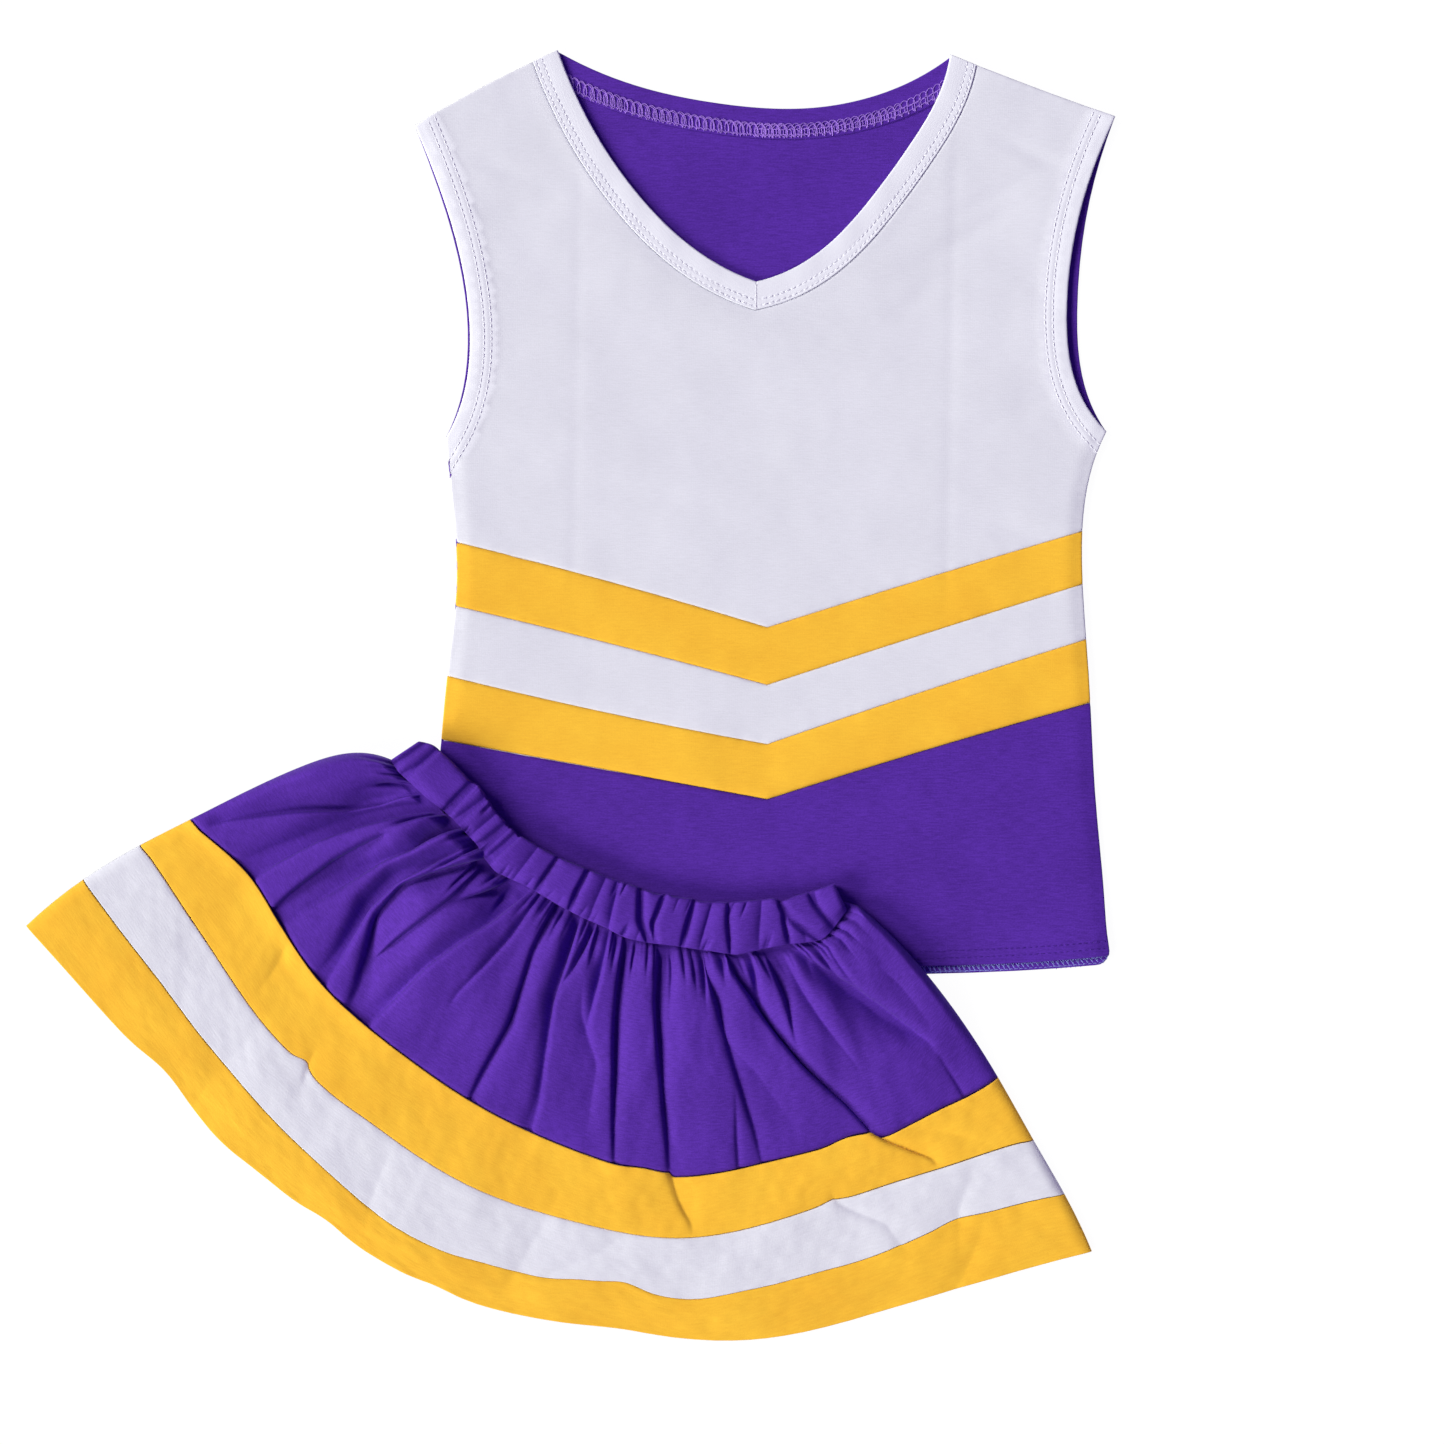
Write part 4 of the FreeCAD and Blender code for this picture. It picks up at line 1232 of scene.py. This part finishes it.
def skirt_layer(part, layer, sides, columns, rows, material, slot):
    """One cloth of the skirt's front or back."""
    lowest, highest = SEAM_AT[part]
    edge = np.array([0, 0.0006, 0.0016, 0.003])
    us = np.concatenate([edge, np.linspace(0.0055, 0.9945, columns), 1 - edge[::-1]])
    vs = np.concatenate([edge * 3, np.linspace(0.018, 0.982, rows), 1 - edge[::-1] * 3])
    if layer == "back":
        us = BACK_INSET + (1 - 2 * BACK_INSET) * us
        vs = vs * (1 - 5 * BACK_INSET) if part == "hem" else vs
    plan = patch(sides, us, vs)
    u = np.broadcast_to(us, plan.shape[:2]).copy()
    w = lowest + (highest - lowest) * np.broadcast_to(vs[:, None], u.shape)
    width, depth = spans(plan, 1), spans(plan, 0)
    level_up = support(plan)
    flank = np.minimum(u, 1 - u) * width
    if layer == "front":
        folds, shift, slip = fold_field(u, w, width, FOLDS, part != "body")
        waist = smooth((w + 0.03) / 0.13)
        fuller = 1 - smooth((u - 0.27) / 0.12)
        puff = (PUFF + PUFF_LEFT * fuller) * waist * (1 - smooth((w - 0.30) / 0.85))
        puff = (puff + 0.4) * MM
        deep = np.interp(w, (0, 0.45, 1.0, 1.3, 2.6), (1.0, 1.0, 0.66, 0.5, 0.55))
        deep = deep * (1 + 0.6 * fuller)
        calm = np.interp(w, (0, 0.6, 1.1, 2.6), (1.0, 0.9, 0.35, 0.28))
        swell = (1.0 * noise(u * 0.9, w * 0.12, 0.045, 51)
                 + 0.45 * noise(u * 0.9, w * 0.09, 0.018, 52)) * MM * calm
        fine = 0.10 * MM * noise(u * 0.6, w * 0.10, 0.006, 53)
        rise = puff + swell + fine + folds * deep
        sunk = FOLD_FLOOR + FOLD_SOFT * np.exp((rise - FOLD_FLOOR - FOLD_SOFT) / (1.6 * MM))
        rise = np.where(rise < FOLD_FLOOR + FOLD_SOFT, sunk, rise)
        hem = smooth((w - 2.2) / 0.4)
        closing = np.sqrt(1 - (1 - np.clip(flank / (6 * MM), 0, 1)) ** 2)
        mid = EDGE_MID + (SKIRT_FRONT_MID - EDGE_MID + rise) * closing - 1.0 * MM * hem * closing
        share = (w - lowest) / (highest - lowest)
        for dip, far in zip(SKIRT_SEAM_DIPS[part], (share * depth, (1 - share) * depth)):
            mid = mid - dip * MM * np.exp(-far / SKIRT_DIP_REACH)
        mid = np.maximum(mid, LOWEST_MID)
        ahead, down = along_axis(plan, 1), along_axis(plan, 0)
        keep = smooth(flank / (8 * MM)) * np.clip((2.62 - w) / 0.15, 0, 1)
        slip_keep = keep * np.clip(w / 0.2, 0, 1)
        slip = slip * slip_keep + seam_wave(u, w) * smooth(flank / (8 * MM))
        plan = plan + ahead * (shift * deep * keep)[..., None] + down * slip[..., None]
        if part == "body":
            gap = np.maximum(-wandered(us, FOOT_WANDER), 0) * BAND_WIDTH + UNDER_FOOT
            plan = plan - down * (gap[None] * (1 - smooth(w / 0.25)) * keep)[..., None]
    else:
        swell = 0.2 * noise(u * 0.9, w * 0.12, 0.05, 61) * MM
        closing = smooth(flank / (7 * MM))
        mid = SKIRT_BACK_MID + 0.55 * MM * (1 - closing) + np.maximum(swell, -0.1 * MM)
        lower = seam_wave(u, w) + BACK_DROP * smooth((2.6 - w) / 0.4)
        plan = plan + along_axis(plan, 0) * (lower * smooth(flank / (8 * MM)))[..., None]
        depth = spans(plan, 0)
    mid = mid + level_up
    sv = np.broadcast_to(vs[:, None], u.shape)
    inside = np.minimum(flank, np.minimum(sv, 1 - sv) * depth)
    faces, rim = grid_faces(len(vs), len(us))
    verts, all_faces, keep = shell(plan.reshape(-1, 2), faces, rim, mid.ravel(), SKIRT_CLOTH,
                                   inside.ravel(), SKIRT_ROUNDING)
    weave = np.column_stack([(u * 0.62).ravel(), (sv * depth).ravel(),
                             np.full(u.size, 0.03 * lowest)])
    weave = np.vstack([weave, weave[keep] + UNDERSIDE])
    node = "skirt_%s_%s" % (part if part == "body" else part + "_band", layer)
    made = piece(node + "_cloth", verts, all_faces, weave, material, SKIRT, slot, [node])


SIDES = {
    "body": skirt_sides("body", "waistband_back", "skirt_gold_band_back"),
    "gold": skirt_sides("gold_band", "skirt_body_back", "skirt_white_band_back"),
    "white": skirt_sides("white_band", "skirt_gold_band_back", "skirt_hem_band_back"),
    "hem": skirt_sides("hem_band", "skirt_white_band_back"),
}
for above, below in (("body", "gold"), ("gold", "white"), ("white", "hem")):
    SIDES[below] = (SIDES[above][2],) + SIDES[below][1:]
# Each part's columns, rows, look, how much wider it was cut and how it is held.
SKIRT_CLOTHS = (
    ("body", 640, 120, purple_jersey, "purple_jersey", 1.25, "gathered"),
    ("gold", 640, 26, gold_jersey, "gold_jersey", 1.0, "laid"),
    ("white", 640, 22, white_jersey, "white_jersey", 1.0, "laid"),
    ("hem", 640, 22, gold_jersey, "gold_jersey", 1.0, "laid"),
)
for part, columns, rows, material, slot, grow, held in SKIRT_CLOTHS:
    skirt_layer(part, "front", SIDES[part], columns, rows, material, slot)
    skirt_layer(part, "back", SIDES[part], columns // 3, rows // 2, material, slot)

# Overlocked allowances inside the skirt: how high those of its front and back lie.
STRIP_MID = {True: 1.75 * MM, False: 1.45 * MM}
for node in ("skirt_body_seam_back", "skirt_gold_seam_back", "skirt_white_seam_back",
             "skirt_body_seam_front", "skirt_gold_seam_front", "skirt_white_seam_front",
             "skirt_side_seam_left", "skirt_side_seam_right", "waist_seam_back",
             "waist_seam_front"):
    strip_mid = STRIP_MID[node.endswith("front")]
    if node.startswith("waist_seam"):
        height = level(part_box(node)[0].z + 0.35 * MM)
    else:
        height = level(strip_mid, support)
    panel(node + "_strip", outlines(node, -1)[0], height, seam_thread, "purple_thread",
          [node], thick=0.4 * MM, step=3.0 * MM, body=SKIRT)


# ---------------------------------------------------------------------------
# Waistband: front and back casings round one flattened loop of elastic

# Ruching creases: depth, left and right bank (mm), then the (u, t) they run through, with
# t from the top edge to the foot.
RUCHES = (
    (2.6, 0.8, 1.5, ((.012, 0), (.010, 1))), (1.8, 2.4, 1.0, ((.042, 0), (.045, 1))),
    (3.0, 1.0, 1.6, ((.142, 0), (.150, 1))), (1.6, 0.9, 0.9, ((.151, .1), (.158, 1))),
    (2.4, 2.4, 1.2, ((.187, 0), (.180, 1))), (2.6, 1.1, 1.1, ((.256, 0), (.245, 1))),
    (2.2, 1.1, 1.1, ((.264, 0), (.258, 1))), (3.4, 2.4, 0.8, ((.292, 0), (.283, 1))),
    (1.4, 0.9, 3.0, ((.388, 0), (.394, 1))), (3.0, 0.9, 1.3, ((.460, 0), (.465, .5), (.475, 1))),
    (1.2, 3.0, 1.0, ((.530, 0), (.560, 1))), (3.8, 1.1, 1.7, ((.580, 0), (.612, .6), (.650, 1))),
    (2.8, 0.9, 1.1, ((.632, 0), (.637, .6), (.664, 1))),
    (3.0, 0.9, 1.3, ((.697, 0), (.706, .5), (.715, 1))),
    (1.3, 1.2, 3.0, ((.770, 0), (.785, .4), (.817, 1))),
    (3.0, 0.9, 1.4, ((.882, 0), (.905, .4), (.948, 1))), (1.6, .8, 1.0, ((.898, .4), (.912, 1))),
    (1.4, 1.1, 2.5, ((.942, 0), (.970, 1))), (1.0, 2.5, 2.5, ((.225, 0), (.220, 1))),
    (0.8, 3.0, 2.0, ((.340, 0), (.345, 1))), (0.8, 3.0, 3.0, ((.500, 0), (.515, 1))),
    (0.8, 2.0, 3.0, ((.735, 0), (.750, 1))), (0.8, 3.0, 3.0, ((.840, 0), (.870, 1))),
)
# How much deeper and wider than listed the creases are made.
RUCH_DEPTH = 2.2
RUCH_WIDTH = 0.8
# How far a crease notches the top edge, as a share of the width to each metre of depth.
RUCH_NOTCH = 7.0
CASING_CLOTH = 0.7 * MM
# Points round the casing's section, and the powers that square it off across and upwards.
CASING_POINTS = 64
CASING_SQUARE = (0.85, 0.34)


def eased(line, times):
    """An open line with its corners eased and its ends kept."""
    line = resample(line, 600)
    for _ in range(times):
        line[1:-1] = (line[:-2] + 2 * line[1:-1] + line[2:]) / 4
    return line


def waist_sides():
    """The waistband's top edge and foot, both left to right.

    The foot ends in the short edge that turns up round the right end.
    """
    sides = sides_of(outlines("waistband_front")[0], turn=28.0)
    sides.sort(key=lambda s: -length_of(s))
    top, foot = sorted(sides[:2], key=lambda s: -s[len(s) // 2, 1])
    top, foot = [s if s[-1, 0] > s[0, 0] else s[::-1] for s in (top, foot)]
    heel = min(sides[2:], key=lambda s: distance(foot[-1:], s)[0])
    if np.linalg.norm(heel[0] - foot[-1]) > np.linalg.norm(heel[-1] - foot[-1]):
        heel = heel[::-1]
    straight = length_of(foot) / (length_of(foot) + length_of(heel))
    return top, eased(np.vstack([foot, heel[1:]]), 90), straight


def foot_share(us, straight):
    """Where the cross lines of the waistband meet its foot, which goes on round the end."""
    return us * straight + (1 - straight) * smooth((us - 0.86) / 0.14)


def casing(node, seed, ruches, share):
    """A flattened tube of cloth, pinched by the creases where the elastic draws it up."""
    low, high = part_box(node)
    upper, lower, straight = waist_sides()
    width = length_of(upper)
    us = np.concatenate([[0, 0.0012, 0.004, 0.008], np.linspace(0.012, 0.988, 640),
                         [0.992, 0.996, 0.9988, 1]])
    turn = np.linspace(0, 2 * np.pi, CASING_POINTS + 1)[:-1]
    cos, sin = np.cos(turn), np.sin(turn)
    t = 0.5 - 0.5 * np.sign(cos) * np.abs(cos) ** CASING_SQUARE[0]
    bulge = np.sign(sin) * np.abs(sin) ** CASING_SQUARE[1]
    u, t = us[:, None] + 0 * t, t + 0 * us[:, None]
    pinch = np.zeros(u.shape)
    slide = np.zeros(u.shape)
    wander = np.random.default_rng(seed)
    small = [(wander.uniform(0.3, 0.9), 1.0, 1.0, ((s, 0), (s + wander.normal(0, 0.01), 1)))
             for s in wander.uniform(0, 1, 46)]
    for number, (depth, left, right, line) in enumerate(list(ruches) + small):
        at, down = np.array(line).T
        off = (u - np.interp(t, down, at)) * width / MM
        bank = np.where(off < 0, -off / left, off / right) / RUCH_WIDTH
        spread = smooth((t - down[0]) / 0.2 + 1) if down[0] > 0 else 1.0
        if number >= len(ruches):
            spread = smooth(1.2 - 3 * t) if number % 3 == 0 else smooth(3 * t - 1.9)
        pinch += RUCH_DEPTH * depth * share * MM * np.exp(-bank ** 1.1) * spread
        way = -1 if left < right else 1
        slide += way * 0.16 * depth * share * MM * np.exp(-np.abs(off) / 1.3) * spread
    middle, half = (low.z + high.z) / 2, (high.z - low.z) / 2
    ends = np.minimum(u, 1 - u) * width
    taper = np.sqrt(1 - (1 - np.clip(ends / (2.5 * MM), 0, 1)) ** 2) * 0.75 + 0.25
    proud = 1.5 * share * MM
    slack = 0.45 * MM * share * noise(u * width, t * 22 * MM, 11 * MM, seed)
    body = np.maximum(half + proud + slack - pinch, half * 0.36) * taper
    moved = t - wandered(us, TOP_WANDER)[:, None] * (1 - t) ** 2
    moved = moved + wandered(us, FOOT_WANDER)[:, None] * t ** 2
    moved = moved + RUCH_NOTCH * pinch * (1 - smooth(t / 0.3)) * np.where(t < 0.5, 1, 0)
    stations = np.clip(u + slide / width * np.clip(ends / (4 * MM), 0, 1), 0, 1)
    a, b = place_on(upper, stations), place_on(lower, foot_share(stations, straight))
    surfaces = []
    for inward in (0.0, CASING_CLOTH):
        z = middle + bulge * np.maximum(body - inward, 0.25 * body)
        foot = smooth((t - 0.74) / 0.26)
        z = z * (1 - 0.30 * foot) + (low.z + 0.5 * half) * 0.30 * foot
        across = 0.5 + (moved - 0.5) * (1 - 2 * inward / BAND_WIDTH)
        plan = a * (1 - across)[..., None] + b * across[..., None]
        surfaces.append(np.concatenate([plan, z[..., None]], -1).reshape(-1, 3))
    verts = np.concatenate(surfaces)
    at = np.arange(u.size).reshape(u.shape)
    quads = hoops(at)
    rims = [np.stack([np.roll(e, -1), e, e + u.size, np.roll(e, -1) + u.size], -1)
            for e in (at[0], at[-1][::-1])]
    faces = np.concatenate([quads, quads[:, ::-1] + u.size] + rims).tolist()
    weave = np.column_stack([(u * 0.45).ravel(), (t * 0.022).ravel(),
                             np.where(np.tile(sin, len(us)) > 0, 0.0, 0.05)])
    weave = np.vstack([weave, weave])
    made = piece(node + "_cloth", verts, faces, weave, purple_jersey, SKIRT, "purple_jersey",
                 [node])


casing("waistband_front", 71, RUCHES, 1.0)
casing("waistband_back", 72, RUCHES, 0.4)


# Points across the elastic, every second one on a rib.
RIBS = 23


def elastic_loop():
    """The ribbed elastic: out along the front, round the end and back along the back."""
    upper, lower, straight = waist_sides()
    low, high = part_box("waist_elastic")
    turn = np.linspace(0, 2 * np.pi, 241)[:-1]
    cos, sin = np.cos(turn), np.sin(turn)
    share = 0.5 - 0.485 * np.sign(cos) * np.abs(cos) ** 0.9
    lift = np.sign(sin) * np.abs(sin) ** 0.25
    across = np.linspace(0.22, 0.74, RIBS)
    ribs = 0.12 * MM * np.cos(np.arange(RIBS) * np.pi)
    middle, half = (low.z + high.z) / 2, (high.z - low.z) / 2 - 1.6 * MM
    layers = []
    for offset in (0.35 * MM, -0.35 * MM):
        z = middle + lift[:, None] * (half + offset + np.sign(offset) * ribs[None])
        a, b = place_on(upper, share), place_on(lower, foot_share(share, straight))
        foot_moved = across + wandered(share, FOOT_WANDER)[:, None] * across ** 2
        plan = a[:, None] * (1 - foot_moved)[..., None] + b[:, None] * foot_moved[..., None]
        layers.append(np.concatenate([plan, z[..., None]], -1))
    rows, columns = len(turn), len(across)
    verts = np.concatenate([l.reshape(-1, 3) for l in layers])
    faces = []
    for i in range(rows):
        k = (i + 1) % rows
        for j in range(columns - 1):
            quad = (i * columns + j, i * columns + j + 1, k * columns + j + 1, k * columns + j)
            faces.append(quad)
            faces.append(tuple(q + rows * columns for q in quad[::-1]))
        for j in (0, columns - 1):
            quad = (i * columns + j, k * columns + j, (k + rows) * columns + j,
                    (i + rows) * columns + j)
            faces.append(quad if j == 0 else quad[::-1])
    weave = np.column_stack([np.tile(np.repeat(turn * 0.07, columns), 2),
                             np.tile(across * 0.018, 2 * rows), np.zeros(len(verts))])
    piece("waist_elastic_loop", verts, faces, weave, elastic_rib, SKIRT, "elastic",
          ["waist_elastic"])


elastic_loop()


# ---------------------------------------------------------------------------
# Floor, light and camera

# How far the floor goes each way, so that no view sees past it.
REACH = 40.0
table = bpy.data.meshes.new("table")
table.from_pydata([(-REACH, -REACH, 0), (REACH, -REACH, 0), (REACH, REACH, 0),
                   (-REACH, REACH, 0)], [], [(0, 1, 2, 3)])
floor = bpy.data.objects.new("table", table)
floor.location.z = -0.2 * MM
bpy.context.scene.collection.objects.link(floor)
paper = bpy.data.materials.new("paper")
paper.use_nodes = True
put(paper.node_tree.nodes["Principled BSDF"], Base_Color=(0.05, 0.05, 0.05, 1), Roughness=0.9,
    Specular_IOR_Level=0.0, Emission_Color=(1, 1, 1, 1), Emission_Strength=0.97)
table.materials.append(paper)

scene = bpy.context.scene
world = bpy.data.worlds.new("studio")
world.use_nodes = True
put(world.node_tree.nodes["Background"], Color=(0.50, 0.27, 1.14, 1), Strength=0.20)
scene.world = world
scene.view_settings.view_transform = "Standard"

# Each lamp: energy, angle in degrees, colour and the way its light goes.
LAMPS = {
    "key": (2.35, 24, (1.0, 1.01, 0.86), (0.86, -0.45, -0.70)),
    "low": (2.83, 30, (1.0, 1.01, 0.86), (0.80, 0.52, -0.56)),
}
for name, (energy, angle, colour, way) in LAMPS.items():
    lamp = bpy.data.lights.new(name, "SUN")
    lamp.energy = energy
    lamp.angle = math.radians(angle)
    lamp.color = colour
    lamp_object = bpy.data.objects.new(name, lamp)
    lamp_object.rotation_euler = Vector(way).to_track_quat("-Z", "Y").to_euler()
    scene.collection.objects.link(lamp_object)

# The camera looks straight down; its view is SPAN metres wide at the table.
LENS, SENSOR = 85.0, 36.0
SPAN = 0.657
camera = bpy.data.cameras.new("camera")
camera.lens = LENS
camera.sensor_width = SENSOR
camera_object = bpy.data.objects.new("camera", camera)
camera_object.location = (0.069, -0.012, SPAN * LENS / SENSOR)
scene.collection.objects.link(camera_object)
scene.camera = camera_object
